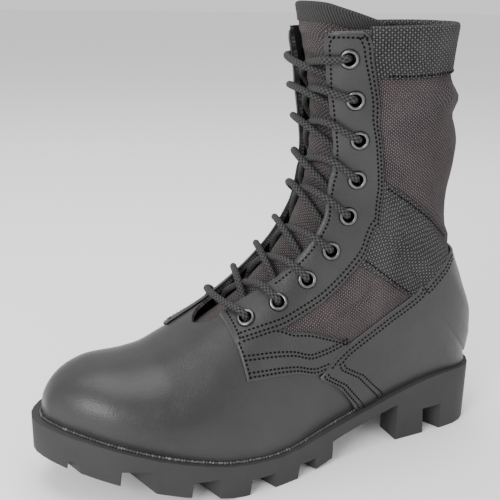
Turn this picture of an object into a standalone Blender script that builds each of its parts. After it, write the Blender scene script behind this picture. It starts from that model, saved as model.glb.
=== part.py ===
"""Left jungle boot: a laced fabric and leather shaft on a deep lugged rubber sole.

While it is built, x runs forward from the back of the heel, y to the wearer's left, which is the outer
side of this left boot, and z up from the floor. The finished nodes hang on one empty that moves the
middle of the boot's footprint to the origin. Sizes are in metres.
"""

import math

import bmesh
import bpy
import numpy as np
from mathutils import Matrix, Vector

# Driving sizes
LENGTH = 0.309  # back of the heel to the tip of the sole
BALL_HALF = 0.0565  # half the width of the sole at the ball
HEEL_HEIGHT = 0.0435  # floor to the upper at the heel
BOOT_HEIGHT = 0.277  # floor to the collar
SHAFT_HALF = 0.039  # half the width of the shaft

# Walls, gaps and overlays
WALL = 0.0024
GAP = 0.0003
SEAT_GAP = 0.0005  # between the sole's top and what stands on it
SOLE_LIP = 0.004  # how far the sole stands out from the vamp
HEEL_LIP = 0.0066  # how far it stands out from the lining of the heel
REAR_EDGE = 0.0045  # back of the upper, ahead of the back of the sole
TIP_EDGE = 0.0065  # front of the upper, behind the tip of the sole
INSOLE = 0.003
INSOLE_CLEAR = 0.0025
TONGUE = 0.0025

OUTER, INNER = 1, -1  # the wearer's left and right side of this left boot

# Edge of the sole from heel to toe: share of the length, then y in shares of the ball's half width
EDGE_SHARE, EDGE_OUTER, EDGE_INNER = range(3)
SOLE_EDGE = [
    (0.000, 0.00, 0.00),
    (0.022, 0.46, -0.46),
    (0.065, 0.60, -0.60),
    (0.135, 0.64, -0.645),
    (0.240, 0.66, -0.64),
    (0.310, 0.70, -0.60),
    (0.390, 0.78, -0.58),
    (0.455, 0.86, -0.62),
    (0.530, 0.955, -0.73),
    (0.605, 1.00, -0.86),
    (0.665, 1.00, -0.94),
    (0.730, 0.96, -0.985),
    (0.790, 0.88, -0.98),
    (0.835, 0.79, -0.94),
    (0.875, 0.69, -0.88),
    (0.916, 0.54, -0.77),
    (0.955, 0.34, -0.60),
    (0.987, 0.09, -0.38),
    (1.000, -0.13, -0.13),
]

# Side view of the sole: share of the length, then heights in shares of the heel height
SIDE_SHARE, SIDE_SEAT, SIDE_TREAD = range(3)
SOLE_SIDE = [
    (0.000, 1.00, 0.000),
    (0.090, 1.01, 0.000),
    (0.140, 0.98, 0.000),
    (0.240, 0.82, 0.000),
    (0.310, 0.70, 0.000),
    (0.400, 0.60, 0.110),
    (0.455, 0.535, 0.025),
    (0.485, 0.50, 0.000),
    (0.540, 0.465, 0.000),
    (0.630, 0.50, 0.000),
    (0.665, 0.54, 0.035),
    (0.740, 0.655, 0.145),
    (0.800, 0.76, 0.250),
    (0.870, 0.90, 0.385),
    (0.930, 1.00, 0.495),
    (1.000, 1.06, 0.575),
]

# Sections of the upper, tip of the toe to collar: ridge forward and up, sole or back point forward and
# up from the sole's seat, outer and inner half y, middle y, place of the belly, roundness of crown, flank
RIDGE_X, RIDGE_Z, BASE_X, BASE_RISE, OUT, IN, MIDDLE, BELLY, CROWN, FLANK = range(1, 11)
SECTIONS = [
    (0, 0.979, 0.176, 0.9790, 0.000, -0.130, -0.130, -0.130, 0.36, 0.80, 0.50),
    (1, 0.974, 0.206, 0.9760, 0.000, 0.010, -0.265, -0.130, 0.35, 0.80, 0.50),
    (2, 0.960, 0.233, 0.9650, 0.000, 0.125, -0.385, -0.127, 0.33, 0.80, 0.50),
    (3, 0.938, 0.253, 0.9450, 0.000, 0.285, -0.530, -0.122, 0.30, 0.82, 0.50),
    (4, 0.906, 0.268, 0.9140, 0.000, 0.455, -0.685, -0.115, 0.28, 0.84, 0.50),
    (5, 0.864, 0.276, 0.8720, 0.000, 0.625, -0.820, -0.106, 0.26, 0.86, 0.50),
    (6, 0.815, 0.275, 0.8210, 0.000, 0.755, -0.895, -0.097, 0.26, 0.86, 0.50),
    (7, 0.768, 0.281, 0.7700, 0.000, 0.850, -0.925, -0.088, 0.26, 0.84, 0.50),
    (8, 0.718, 0.307, 0.7130, 0.000, 0.915, -0.925, -0.080, 0.25, 0.80, 0.50),
    (9, 0.664, 0.341, 0.6530, 0.000, 0.940, -0.885, -0.070, 0.25, 0.75, 0.50),
    (10, 0.611, 0.379, 0.5800, 0.000, 0.925, -0.800, -0.056, 0.25, 0.70, 0.50),
    (11, 0.558, 0.426, 0.5000, 0.000, 0.860, -0.715, -0.044, 0.27, 0.65, 0.50),
    (12, 0.513, 0.476, 0.4130, 0.000, 0.770, -0.665, -0.035, 0.31, 0.60, 0.55),
    (13, 0.477, 0.527, 0.3160, 0.000, 0.705, -0.645, -0.026, 0.36, 0.56, 0.60),
    (14, 0.453, 0.579, 0.2130, 0.000, 0.665, -0.635, -0.018, 0.42, 0.53, 0.65),
    (15, 0.437, 0.635, 0.1160, 0.000, 0.645, -0.630, -0.009, 0.47, 0.52, 0.70),
    (16, 0.433, 0.661, 0.0710, 0.000, 0.640, -0.630, -0.004, 0.47, 0.51, 0.70),
    (17, 0.430, 0.682, 0.0390, 0.000, 0.640, -0.630, 0.000, 0.46, 0.50, 0.70),
    (18, 0.428, 0.700, 0.0205, 0.000, 0.640, -0.630, 0.000, 0.45, 0.50, 0.68),
    (19, 0.426, 0.718, 0.0145, 0.000, 0.640, -0.630, 0.000, 0.45, 0.50, 0.64),
    (20, 0.424, 0.744, 0.0080, 0.050, 0.645, -0.635, 0.000, 0.46, 0.50, 0.62),
    (21, 0.423, 0.769, 0.0040, 0.110, 0.650, -0.640, 0.000, 0.47, 0.50, 0.60),
    (22, 0.423, 0.798, 0.0260, 0.195, 0.655, -0.645, 0.000, 0.48, 0.50, 0.60),
    (23, 0.424, 0.827, 0.0565, 0.282, 0.660, -0.650, 0.000, 0.49, 0.50, 0.60),
    (24, 0.426, 0.856, 0.0820, 0.365, 0.665, -0.655, 0.000, 0.50, 0.50, 0.60),
    (25, 0.429, 0.877, 0.0920, 0.437, 0.670, -0.660, 0.000, 0.50, 0.50, 0.58),
    (26, 0.432, 0.903, 0.0820, 0.527, 0.680, -0.670, 0.000, 0.50, 0.50, 0.56),
    (27, 0.436, 0.931, 0.0870, 0.621, 0.690, -0.680, 0.000, 0.50, 0.50, 0.54),
    (28, 0.442, 0.962, 0.1015, 0.730, 0.700, -0.690, 0.000, 0.50, 0.50, 0.52),
    (29, 0.449, 0.991, 0.0935, 0.837, 0.710, -0.700, 0.000, 0.50, 0.50, 0.50),
    (30, 0.456, 1.045, 0.0880, 0.900, 0.720, -0.710, 0.000, 0.50, 0.50, 0.50),
]
CLOSED_BACK = 19  # from this section on the upper closes behind the heel
COLLAR = 29
TOP = 30

# Lacing gap: section, then the share of the way round from the ridge to its outer and inner edge
THROAT = 8.9
THROAT_EDGES = [
    (8.9, 0.000, 0.000),
    (9.1, 0.070, 0.080),
    (9.4, 0.105, 0.130),
    (10.0, 0.118, 0.165),
    (10.6, 0.134, 0.170),
    (11.2, 0.156, 0.172),
    (11.9, 0.176, 0.174),
    (12.7, 0.178, 0.177),
    (13.5, 0.176, 0.180),
    (14.5, 0.166, 0.178),
    (15.2, 0.146, 0.170),
    (16.5, 0.128, 0.155),
    (18.3, 0.117, 0.140),
    (20.5, 0.112, 0.136),
    (22.3, 0.116, 0.141),
    (24.0, 0.123, 0.150),
    (26.0, 0.130, 0.162),
    (28.0, 0.148, 0.178),
    (29.0, 0.156, 0.186),
]

# Rear edge of the eyestays on the same scale, outer and inner
STAY_REARS = [
    (8.3, 0.300, 0.310),
    (9.7, 0.345, 0.350),
    (10.6, 0.366, 0.370),
    (11.5, 0.390, 0.390),
    (12.6, 0.396, 0.396),
    (13.7, 0.388, 0.388),
    (14.5, 0.378, 0.380),
    (16.5, 0.338, 0.345),
    (18.3, 0.320, 0.330),
    (20.5, 0.311, 0.325),
    (22.3, 0.331, 0.343),
    (23.9, 0.350, 0.362),
    (25.4, 0.347, 0.360),
    (27.3, 0.334, 0.350),
    (29.0, 0.333, 0.350),
]

STAY_FOOT = {OUTER: 9.72, INNER: 8.3}  # the section at which each eyestay begins
STAY_LEAVES = 10  # section below which the inner one leaves the lacing gap and runs on as a flap
FLAP_EDGE, FLAP_LEAN = 0.165, 0.030  # the flap's front edge: a share of the way round, more by each section
STAY_ROUND = [(28.3, 0.0), (28.6, 0.04), (28.85, 0.14), (28.95, 0.24)]  # its rounded top: share cut off each edge

# Top edge of the heel counter on the same scale; under its toe end it is the front edge
COUNTER_TOP = [
    (12.00, 0.706),
    (12.38, 0.671),
    (12.76, 0.640),
    (13.40, 0.627),
    (14.40, 0.620),
    (16.60, 0.598),
    (17.45, 0.587),
    (18.40, 0.564),
    (19.00, 0.557),
    (19.73, 0.577),
    (20.37, 0.600),
    (20.89, 0.620),
    (21.27, 0.643),
    (21.67, 0.678),
    (22.10, 0.720),
    (22.80, 0.820),
    (23.30, 0.925),
    (23.50, 1.000),
]
COUNTER_FRONT = [(12.0, 0.720), (12.4, 0.806), (12.68, 0.948), (12.73, 1.000)]

# Leather band under the eyestay, on each side: section, then its top and bottom edge on the same scale
BAND_EDGES = [
    (9.78, 0.372, 0.548),
    (10.1, 0.374, 0.558),
    (10.6, 0.380, 0.576),
    (11.3, 0.414, 0.620),
    (12.0, 0.470, 0.690),
    (12.6, 0.545, 0.700),
    (13.15, 0.624, 0.700),
]

# Ankle strap of webbing between the eyestay and the counter: its lower and its upper edge, as sections
# with the share of the way round that each has there
STRAP_LOW = [(14.54, 0.374), (14.98, 0.455), (15.60, 0.533), (16.39, 0.601)]
STRAP_TOP = [(21.91, 0.329), (22.56, 0.465), (23.00, 0.591), (23.23, 0.735)]

# Strip up the middle of the back: its lower and upper section, and half its width
BACKSTAY = (23.62, 25.0)
BACKSTAY_HALF = 0.012

# Lower edge of the collar's webbing on the same scale
COLLAR_LOW = [(27.0, 0.330), (27.33, 0.430), (27.66, 0.570), (27.9, 0.710), (28.0, 0.814), (28.1, 0.907), (28.2, 1.0)]

# Fineness of the meshes
UPPER_ROWS = [0, 0.5, 1, 1.5, 2, 3, 4, 5, 6, 7, 8, 8.9, 9.0, 9.1, 9.4, 10, 10.6, 11.2, 11.9, 12.7, 13.5, 14.5]
UPPER_ROWS += [15.2, 16, 17, 18, 19, 20, 21, 22, 23, 24, 25, 26, 27, 28, 29]
COLUMN_SHARES = (0, 0.14, 0.28, 0.415, 0.545, 0.665, 0.775, 0.87, 0.945, 1)  # of the way from the gap round
UPPER_COLUMNS = len(COLUMN_SHARES) - 1
NEAR = 1e-6  # shares closer than this are the same
NARROWEST = 0.006  # least share of the way round that an overlay keeps where its edges run together
SNAP = 0.03  # part of a column within which an overlay's edge takes the column's place
ROW_STEP = 0.03  # an overlay leaves out those of the upper's rows that are nearer than this to its own

# Overlays: thickness of each, and the seam between neighbours
OVERLAY = 0.0005  # lift of an overlay's inner face off the upper
COLLAR_LIFT = 0.0010  # the same for the webbing round the collar
STAY_THICK = 0.0018
BAND_THICK = 0.0014
COUNTER_THICK = 0.0022
WEB_THICK = 0.0012
SEAM = 0.0008
SEAM_SHARE = 0.006  # the same as a share of the way round at the side

# Eyelets: section and share of the way round for each from the toe up, outer and inner side
EYELETS = [
    (10.35, 0.250, 0.275),
    (11.47, 0.276, 0.280),
    (12.70, 0.273, 0.280),
    (14.06, 0.257, 0.268),
    (16.17, 0.226, 0.238),
    (20.26, 0.203, 0.218),
    (22.92, 0.232, 0.246),
    (25.36, 0.240, 0.256),
    (27.54, 0.236, 0.256),
]
EYELET_RADIUS = 0.0060  # outer rim
EYELET_BARREL = 0.0041
EYELET_BORE = 0.0032
EYELET_RIM = 0.0012  # how far the rim stands up
EYELET_DEEP = 0.0058  # how far the barrel reaches down through the eyestay and the upper
EYELET_SIDES = 8

LACE_RADIUS = 0.00225
LACE_SIDES = 5


def curve(table, column, at):
    """A smooth curve, with no overshoot, through one column of a table against its first column."""
    knots = np.array([row[0] for row in table], float)
    values = np.array([row[column] for row in table], float)
    steps = np.diff(knots)
    rises = np.diff(values) / steps
    slopes = np.zeros(len(knots))
    slopes[0], slopes[-1] = rises[0], rises[-1]
    for knot in range(1, len(knots) - 1):
        before, after = rises[knot - 1], rises[knot]
        if before * after > 0:
            near, far = steps[knot - 1] + 2 * steps[knot], 2 * steps[knot - 1] + steps[knot]
            slopes[knot] = (near + far) / (near / before + far / after)
    at = np.clip(np.asarray(at, float), knots[0], knots[-1])
    place = np.clip(np.searchsorted(knots, at, "right") - 1, 0, len(steps) - 1)
    step = steps[place]
    part = (at - knots[place]) / step
    blend = part * part * (3 - 2 * part)
    pull = part * (1 - part) * step * ((1 - part) * slopes[place] - part * slopes[place + 1])
    return values[place] * (1 - blend) + values[place + 1] * blend + pull


def turn(share):
    """The angle that a share of the length has on a half circle, so that round ends come out round."""
    return np.arccos(1 - 2 * np.clip(share, 0, 1))


EDGE_BY_TURN = [(float(turn(row[EDGE_SHARE])),) + row[1:] for row in SOLE_EDGE]


def sole_edge(side, x):
    """The y of the sole's edge on one side, x forward of the back of the heel."""
    column = EDGE_OUTER if side == OUTER else EDGE_INNER
    return BALL_HALF * curve(EDGE_BY_TURN, column, turn(np.asarray(x) / LENGTH))


def feather(side, x, inset=0.0):
    """The y of the upper's lower edge on one side, further in by the inset."""
    rear, front = REAR_EDGE + inset, LENGTH - TIP_EDGE - inset
    share = np.clip((np.asarray(x) - rear) / (front - rear), 0, 1)
    round_in = np.sin(turn(share))
    lip = SOLE_LIP + (HEEL_LIP - SOLE_LIP) * np.clip(1.6 - 2.4 * share, 0, 1) + inset
    column = EDGE_OUTER if side == OUTER else EDGE_INNER
    edge = BALL_HALF * curve(EDGE_BY_TURN, column, turn(share))
    return edge - side * lip * (2 * round_in - round_in**2)


def seat(x):
    """The height of the sole's top."""
    return HEEL_HEIGHT * curve(SOLE_SIDE, SIDE_SEAT, np.asarray(x) / LENGTH)


def tread(x):
    """The height of the lugs' undersides."""
    return HEEL_HEIGHT * curve(SOLE_SIDE, SIDE_TREAD, np.asarray(x) / LENGTH)


def outlines(side, fine=8, across=96, around=240):
    """Points of one side of the upper's outer face: rows along the sections, columns from the ridge."""
    at = np.linspace(0, TOP, TOP * fine + 1)
    value = {column: curve(SECTIONS, column, at)[:, None] for column in range(1, 11)}
    ridge_x, ridge_z = value[RIDGE_X] * LENGTH, value[RIDGE_Z] * BOOT_HEIGHT
    base_x = value[BASE_X] * LENGTH
    base_z = seat(base_x) + SEAT_GAP + value[BASE_RISE] * BOOT_HEIGHT
    middle = value[MIDDLE] * BALL_HALF
    widest = value[OUT if side == OUTER else IN] * BALL_HALF - middle
    foot = np.where(at[:, None] < CLOSED_BACK, feather(side, base_x) - middle, 0.0)
    reach = np.hypot(base_x - ridge_x, base_z - ridge_z)
    belly = value[BELLY] * reach
    narrowing = np.clip(foot / np.where(abs(widest) < 1e-6, side, widest), 0, 1)
    narrowing[abs(widest[:, 0]) < 1e-6] = 1.0
    last = math.pi - np.arcsin(narrowing ** (1 / value[FLANK]))
    share = (1 - np.cos(np.linspace(0, math.pi, around))) / 2
    angle = last * share
    above = angle <= math.pi / 2
    depth_above = (reach - belly) * (1 - np.cos(angle))
    drop = np.maximum(-np.cos(last), 1e-6)
    depth_below = reach - belly + belly * np.minimum(-np.cos(angle) / drop, 1)
    depth = np.where(above, depth_above, depth_below)
    swell = np.sin(np.minimum(angle, math.pi)) ** np.where(above, value[CROWN], value[FLANK])
    way = depth / np.maximum(reach, 1e-9)
    points = np.stack(
        [
            ridge_x + (base_x - ridge_x) * way,
            middle + widest * np.where(angle >= math.pi - 1e-9, 0, swell),
            ridge_z + (base_z - ridge_z) * way,
        ],
        axis=2,
    )
    steps = np.linalg.norm(np.diff(points, axis=1), axis=2)
    girth = np.concatenate([np.zeros((len(at), 1)), np.cumsum(steps, axis=1)], axis=1)
    even = np.empty((len(at), across + 1, 3))
    for row in range(len(at)):
        wanted = np.linspace(0, girth[row, -1], across + 1)
        for axis in range(3):
            even[row, :, axis] = np.interp(wanted, girth[row], points[row, :, axis])
    return even, girth[:, -1]


def facing(grid):
    """Directions square to a grid of points at each of them, from the flats that meet there."""
    along, across = grid[1:, :-1] - grid[:-1, :-1], grid[:-1, 1:] - grid[:-1, :-1]
    far = grid[1:, 1:] - grid[:-1, :-1]
    first, second = np.cross(across, far), np.cross(far, along)
    total = np.zeros(grid.shape)
    total[:-1, :-1] += first + second
    total[1:, 1:] += first + second
    total[:-1, 1:] += first
    total[1:, :-1] += second
    return total


class Skin:
    """The outer face of the upper on one side, by section and by share of the way round from the ridge."""

    def __init__(self, side):
        self.side = side
        self.points, self.girths = outlines(side)
        along = np.gradient(self.points, axis=0)
        across = np.gradient(self.points, axis=1)
        normals = side * np.cross(across, along)
        normals[:, 0, 1] = 0
        closed = np.linspace(0, TOP, len(self.points)) >= CLOSED_BACK
        normals[closed, -1, 1] = 0
        normals[0] = (1, 0, 0)
        self.normals = normals / np.linalg.norm(normals, axis=2, keepdims=True)
        rows = np.array(UPPER_ROWS, float)
        self.starts = self.throat(rows)
        shares = np.array([self.columns(row) for row in rows])
        sections = np.repeat(rows[:, None], UPPER_COLUMNS + 1, axis=1)
        self.corners = self.at(sections, shares)
        outward = side * facing(self.corners)
        outward[0] = (1, 0, 0)
        outward[rows < THROAT, 0, 1] = 0
        outward[rows >= CLOSED_BACK, -1, 1] = 0
        self.outward = outward / np.linalg.norm(outward, axis=2, keepdims=True)
        twist = self.corners[:-1, 1:] + self.corners[1:, :-1] - self.corners[:-1, :-1] - self.corners[1:, 1:]
        self.crossed = (twist * (self.outward[:-1, :-1] + self.outward[1:, 1:])).sum(axis=2) > 0

    def spread(self, grid, section, share):
        """A value of the grid between its rows and columns."""
        row = np.clip(np.asarray(section, float) / TOP, 0, 1) * (grid.shape[0] - 1)
        column = np.clip(np.asarray(share, float), 0, 1) * (grid.shape[1] - 1)
        i = np.minimum(row.astype(int), grid.shape[0] - 2)
        j = np.minimum(column.astype(int), grid.shape[1] - 2)
        a, b = (row - i)[..., None], (column - j)[..., None]
        low = grid[i, j] * (1 - b) + grid[i, j + 1] * b
        high = grid[i + 1, j] * (1 - b) + grid[i + 1, j + 1] * b
        return low * (1 - a) + high * a

    def at(self, section, share, lift=0.0):
        """Points on the face, lifted off it."""
        normal = self.normal(section, share)
        return self.spread(self.points, section, share) + normal * np.asarray(lift)[..., None]

    def normal(self, section, share):
        """The outward direction of the face."""
        normal = self.spread(self.normals, section, share)
        return normal / np.linalg.norm(normal, axis=-1, keepdims=True)

    def columns(self, section):
        """The shares of the way round at which the upper's columns of corners cross a section."""
        start = np.interp(section, UPPER_ROWS, self.starts)
        return start + (1 - start) * np.array(COLUMN_SHARES)

    def across(self, section, share):
        """The place of a share of the way round, counted in the upper's columns."""
        start = np.interp(section, UPPER_ROWS, self.starts)
        return np.interp((share - start) / (1 - start), COLUMN_SHARES, range(UPPER_COLUMNS + 1))

    def flat(self, section, share, lift=0.0):
        """A point on the upper's flats, between its rows and columns of corners, lifted off them."""
        after = int(np.searchsorted(UPPER_ROWS, section, "right"))
        row = min(max(after - 1, 0), len(UPPER_ROWS) - 2)
        along = (section - UPPER_ROWS[row]) / (UPPER_ROWS[row + 1] - UPPER_ROWS[row])
        across = float(self.across(section, share))
        column = min(int(across), UPPER_COLUMNS - 1)
        across -= column
        lifted = self.corners + self.outward * lift
        near, above = lifted[row : row + 2, column]
        far, beyond = lifted[row : row + 2, column + 1]
        if self.crossed[row, column]:
            if across + along < 1:
                return near + (far - near) * across + (above - near) * along
            return beyond + (above - beyond) * (1 - across) + (far - beyond) * (1 - along)
        if across > along:
            return near + (far - near) * across + (beyond - far) * along
        return near + (above - near) * along + (beyond - above) * across

    def girth(self, section):
        """The way round from the ridge to the sole or to the middle of the back."""
        rows = np.linspace(0, TOP, len(self.girths))
        return np.interp(section, rows, self.girths)

    def throat(self, section):
        """The share of the way round where the lacing gap ends."""
        return curve(THROAT_EDGES, 1 if self.side == OUTER else 2, section)

    def stay_rear(self, section):
        """The share of the way round where the eyestay ends."""
        return curve(STAY_REARS, 1 if self.side == OUTER else 2, section)

    def away(self, section, share, distance):
        """The share of the way round that is a distance further on."""
        return share + distance / max(float(self.girth(section)), 0.001)


SKINS = {side: Skin(side) for side in (OUTER, INNER)}


def material(name, colour, rough):
    """A plain surface of one colour."""
    finish = bpy.data.materials.new(name)
    finish.use_nodes = True
    surface = finish.node_tree.nodes["Principled BSDF"]
    surface.inputs["Base Color"].default_value = (*colour, 1)
    surface.inputs["Roughness"].default_value = rough
    finish.diffuse_color = (*colour, 1)
    return finish


def node(name, vertices, faces, finish):
    """A named object from points and faces, its faces turned outward."""
    mesh = bpy.data.meshes.new(name)
    mesh.from_pydata([tuple(map(float, vertex)) for vertex in vertices], [], faces)
    shape = bmesh.new()
    shape.from_mesh(mesh)
    bmesh.ops.triangulate(shape, faces=[face for face in shape.faces if len(face.verts) > 4])
    bmesh.ops.recalc_face_normals(shape, faces=shape.faces)
    if shape.calc_volume(signed=True) < 0:
        bmesh.ops.reverse_faces(shape, faces=shape.faces)
    shape.to_mesh(mesh)
    shape.free()
    mesh.materials.append(finish)
    made = bpy.data.objects.new(name, mesh)
    bpy.context.scene.collection.objects.link(made)
    return made


def wall(name, outside, inside, quads, finish):
    """A closed sheet from the points of its two faces and the faces that both share."""
    count = len(outside)
    edges = {}
    for quad in quads:
        for start, end in zip(quad, quad[1:] + quad[:1]):
            edges[(start, end)] = True
    faces = [list(quad) for quad in quads]
    faces += [[vertex + count for vertex in reversed(quad)] for quad in quads]
    for start, end in edges:
        if (end, start) not in edges:
            faces.append([end, start, start + count, end + count])
    return node(name, list(outside) + list(inside), faces, finish)


def drill(target, cutters, operation="DIFFERENCE"):
    """Cut the joined cutters out of a node for good, or join them to it."""
    cutter = cutters[0]
    if len(cutters) > 1:
        joined = bmesh.new()
        for piece in cutters:
            joined.from_mesh(piece.data)
        joined.to_mesh(cutter.data)
        joined.free()
    cut = target.modifiers.new("cut", "BOOLEAN")
    cut.operation = operation
    cut.solver = "EXACT"
    cut.object = cutter
    bpy.context.view_layer.update()
    result = bpy.data.meshes.new_from_object(target.evaluated_get(bpy.context.evaluated_depsgraph_get()))
    target.modifiers.clear()
    target.data = result
    result.name = target.name
    for piece in cutters:
        bpy.data.objects.remove(piece)


def smooth(made, angle=40):
    """Shade a node smooth where its faces meet at less than the angle."""
    limit = math.radians(angle)
    made.data.polygons.foreach_set("use_smooth", [True] * len(made.data.polygons))
    shape = bmesh.new()
    shape.from_mesh(made.data)
    for edge in shape.edges:
        edge.smooth = len(edge.link_faces) == 2 and edge.calc_face_angle(0) < limit
    shape.to_mesh(made.data)
    shape.free()


def slab(name, stations, left, right, top, bottom, finish):
    """A solid between a left and a right edge, flat across, from its stations along x."""
    vertices, faces = [], []
    for x in stations:
        for y, z in ((left(x), top(x)), (right(x), top(x)), (right(x), bottom(x)), (left(x), bottom(x))):
            vertices.append((x, y, z))
    for step in range(len(stations) - 1):
        here, there = 4 * step, 4 * step + 4
        for corner in range(4):
            after = (corner + 1) % 4
            faces.append([here + corner, here + after, there + after, there + corner])
    end = 4 * len(stations) - 4
    faces += [[0, 1, 2, 3], [end + 3, end + 2, end + 1, end]]
    return node(name, vertices, faces, finish)


def prism(name, corners, low, high, finish):
    """An upright prism over corners (x, y); high may be a height or one for each corner."""
    count = len(corners)
    heights = high if isinstance(high, (list, tuple)) else [high] * count
    vertices = [(x, y, low) for x, y in corners]
    vertices += [(x, y, z) for (x, y), z in zip(corners, heights)]
    faces = [list(range(count)), list(range(2 * count - 1, count - 1, -1))]
    faces += [[k, (k + 1) % count, (k + 1) % count + count, k + count] for k in range(count)]
    return node(name, vertices, faces, finish)


# Gaps between the lugs on each side: front and rear end on the edge in shares of the length, how far
# their roof is above the tread in shares of the heel height, and how far they go in, in ball halves
GAP_FRONT, GAP_REAR, GAP_DEPTH, GAP_REACH = range(4)
LUG_GAPS = [
    (0.958, 0.930, 0.13, 0.45),
    (0.868, 0.803, 0.27, 0.62),
    (0.738, 0.680, 0.27, 0.70),
    (0.618, 0.560, 0.23, 0.72),
    (0.505, 0.457, 0.21, 0.66),
]
GAP_OVERRUN = 0.016  # how far a gap's cutter starts outside the edge
LUG_SWEEP = 0.43  # forward travel of a gap for its travel inward
LUG_SLANT = 0.010  # share of the length that the rear face of a lug leans
WAIST = (0.412, 0.235)  # front and rear of the waist, in shares of the length
WAIST_ROOF = (0.37, 0.62)  # its height at the front and rear, in heel heights
HEEL_GAP = (0.112, 0.160)
HEEL_ROOF = 0.44
HEEL_POCKET = 0.32  # half width of the hollow in the middle of the heel, in ball halves


def swept_gap(side, front, rear, roof, reach, slant):
    """A prism that cuts one gap between two lugs from the edge inward."""
    edge = float(sole_edge(side, (front + rear) / 2 * LENGTH))
    out = edge + side * GAP_OVERRUN
    end = edge - side * BALL_HALF * reach
    corners = []
    for x, lean in ((front * LENGTH, slant), (rear * LENGTH, 0.0)):
        at_edge = sole_edge(side, x)
        for y in (out, end):
            inward = (at_edge - y) * side
            corners.append((x + lean * LENGTH + LUG_SWEEP * inward, float(y), lean * LENGTH))
    order = [corners[0], corners[1], corners[3], corners[2]]
    low = [(x, y, -0.01) for x, y, lean in order]
    high = [(x - 2 * lean, y, roof) for x, y, lean in order]
    faces = [[0, 1, 2, 3], [7, 6, 5, 4]] + [[k, (k + 1) % 4, (k + 1) % 4 + 4, k + 4] for k in range(4)]
    return node("gap", low + high, faces, rubber)


def outsole():
    """The rubber sole: a body of the full depth less its gaps, its waist and the heel's hollow."""
    stations = sorted({float(LENGTH * (1 - math.cos(math.pi * k / 30)) / 2) for k in range(31)})
    stations += [LENGTH * row[SIDE_SHARE] for row in SOLE_SIDE if 0.4 < row[SIDE_SHARE] < 0.7]
    stations = sorted(set(stations))
    tip = 0.0006
    vertices, faces = [], []
    inner = [x for x in stations if tip < x < LENGTH - tip]
    left = [(x, float(sole_edge(OUTER, x))) for x in inner]
    right = [(x, float(sole_edge(INNER, x))) for x in inner]
    ring = [(0.0, 0.0)] + left + [(LENGTH, float(sole_edge(OUTER, LENGTH)))] + right[::-1]
    for height in (seat, tread):
        vertices += [(x, y, float(height(x))) for x, y in ring]
    count, half = len(ring), len(inner)
    for k in range(count):
        after = (k + 1) % count
        faces.append([k, after, after + count, k + count])
    for base in (0, count):
        faces.append([base, base + 1, base + count - 1])
        faces.append([base + half, base + half + 1, base + half + 2])
        for k in range(1, half):
            faces.append([base + k, base + k + 1, base + count - k - 1, base + count - k])
    sole = node("outsole", vertices, faces, rubber)
    cutters = []
    for side in (OUTER, INNER):
        for front, rear, depth, reach in LUG_GAPS:
            roof = float(tread((front + rear) / 2 * LENGTH)) + depth * HEEL_HEIGHT
            cutters.append(swept_gap(side, front, rear, roof, reach, LUG_SLANT / 2))
        roof = HEEL_ROOF * HEEL_HEIGHT
        cutters.append(swept_gap(side, HEEL_GAP[1], HEEL_GAP[0], roof, 0.66, -0.004))
    for cutter in cutters:
        drill(sole, [cutter])
    front, rear = WAIST[0] * LENGTH, WAIST[1] * LENGTH
    roofs = [height * HEEL_HEIGHT for height in WAIST_ROOF]
    wide = BALL_HALF * 1.2
    pocket = HEEL_POCKET * BALL_HALF
    middle = (HEEL_GAP[0] + HEEL_GAP[1]) / 2 * LENGTH
    waist = prism(
        "waist",
        [(front, wide), (rear, wide), (rear, -wide), (front, -wide)],
        -0.01,
        [roofs[0], roofs[1], roofs[1], roofs[0]],
        rubber,
    )
    drill(sole, [waist])
    hollow = prism(
        "hollow",
        [(rear + 0.01, pocket), (middle, pocket), (middle, -pocket), (rear + 0.01, -pocket)],
        -0.01,
        [HEEL_ROOF * HEEL_HEIGHT] * 4,
        rubber,
    )
    drill(sole, [hollow])
    return sole


def sheet(name, sides, rows, place, low, high, finish):
    """A sheet on the upper's flats between two lifts; place gives section and share for a side, row, column."""
    ids, outside, inside, faces = {}, [], [], []

    def vertex(side, row, column):
        section, share = place(side, row, column)
        lowest = share > 1 - NEAR
        shared = share <= 0 or (lowest and section >= CLOSED_BACK)
        spot = (round(section, 6), round(share, 6))
        key = spot if shared else (side,) + spot
        key = "tip" if section <= 0 else key
        if key not in ids:
            ids[key] = len(outside)
            skin = SKINS[side]
            for points, lift in ((outside, high), (inside, low)):
                point = skin.flat(section, share, lift)
                if lowest and section <= CLOSED_BACK:
                    point[2] = skin.flat(section, share)[2]
                points.append(point)
        return ids[key]

    for side in sides:
        for row in range(rows):
            for column in range(UPPER_COLUMNS):
                near, far = vertex(side, row, column), vertex(side, row, column + 1)
                above, beyond = vertex(side, row + 1, column), vertex(side, row + 1, column + 1)
                twist = outside[far] + outside[above] - outside[near] - outside[beyond]
                if twist @ (outside[near] - inside[near] + outside[beyond] - inside[beyond]) > 0:
                    pair = [near, far, above], [far, beyond, above]
                else:
                    pair = [near, far, beyond], [near, beyond, above]
                faces += [face[::side] for face in pair if len(set(face)) == 3]
    return wall(name, outside, inside, faces, finish)


def upper():
    """The shaft and vamp: one wall, open at the throat, at the collar and underneath."""

    def place(side, row, column):
        section = UPPER_ROWS[row]
        return section, float(SKINS[side].columns(section)[column])

    return sheet("upper", (OUTER, INNER), len(UPPER_ROWS) - 1, place, -WALL, 0.0, nylon)


def insole():
    """The sock on the sole, inside the upper's wall."""
    inset = WALL + INSOLE_CLEAR
    rear, front = REAR_EDGE + inset, LENGTH - TIP_EDGE - inset
    stations = [rear + (front - rear) * float(1 - math.cos(math.pi * k / 26)) / 2 for k in range(1, 26)]
    return slab(
        "insole",
        stations,
        lambda x: float(feather(OUTER, x, inset)),
        lambda x: float(feather(INNER, x, inset)),
        lambda x: float(seat(x)) + SEAT_GAP + INSOLE,
        lambda x: float(seat(x)) + SEAT_GAP,
        felt,
    )


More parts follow.
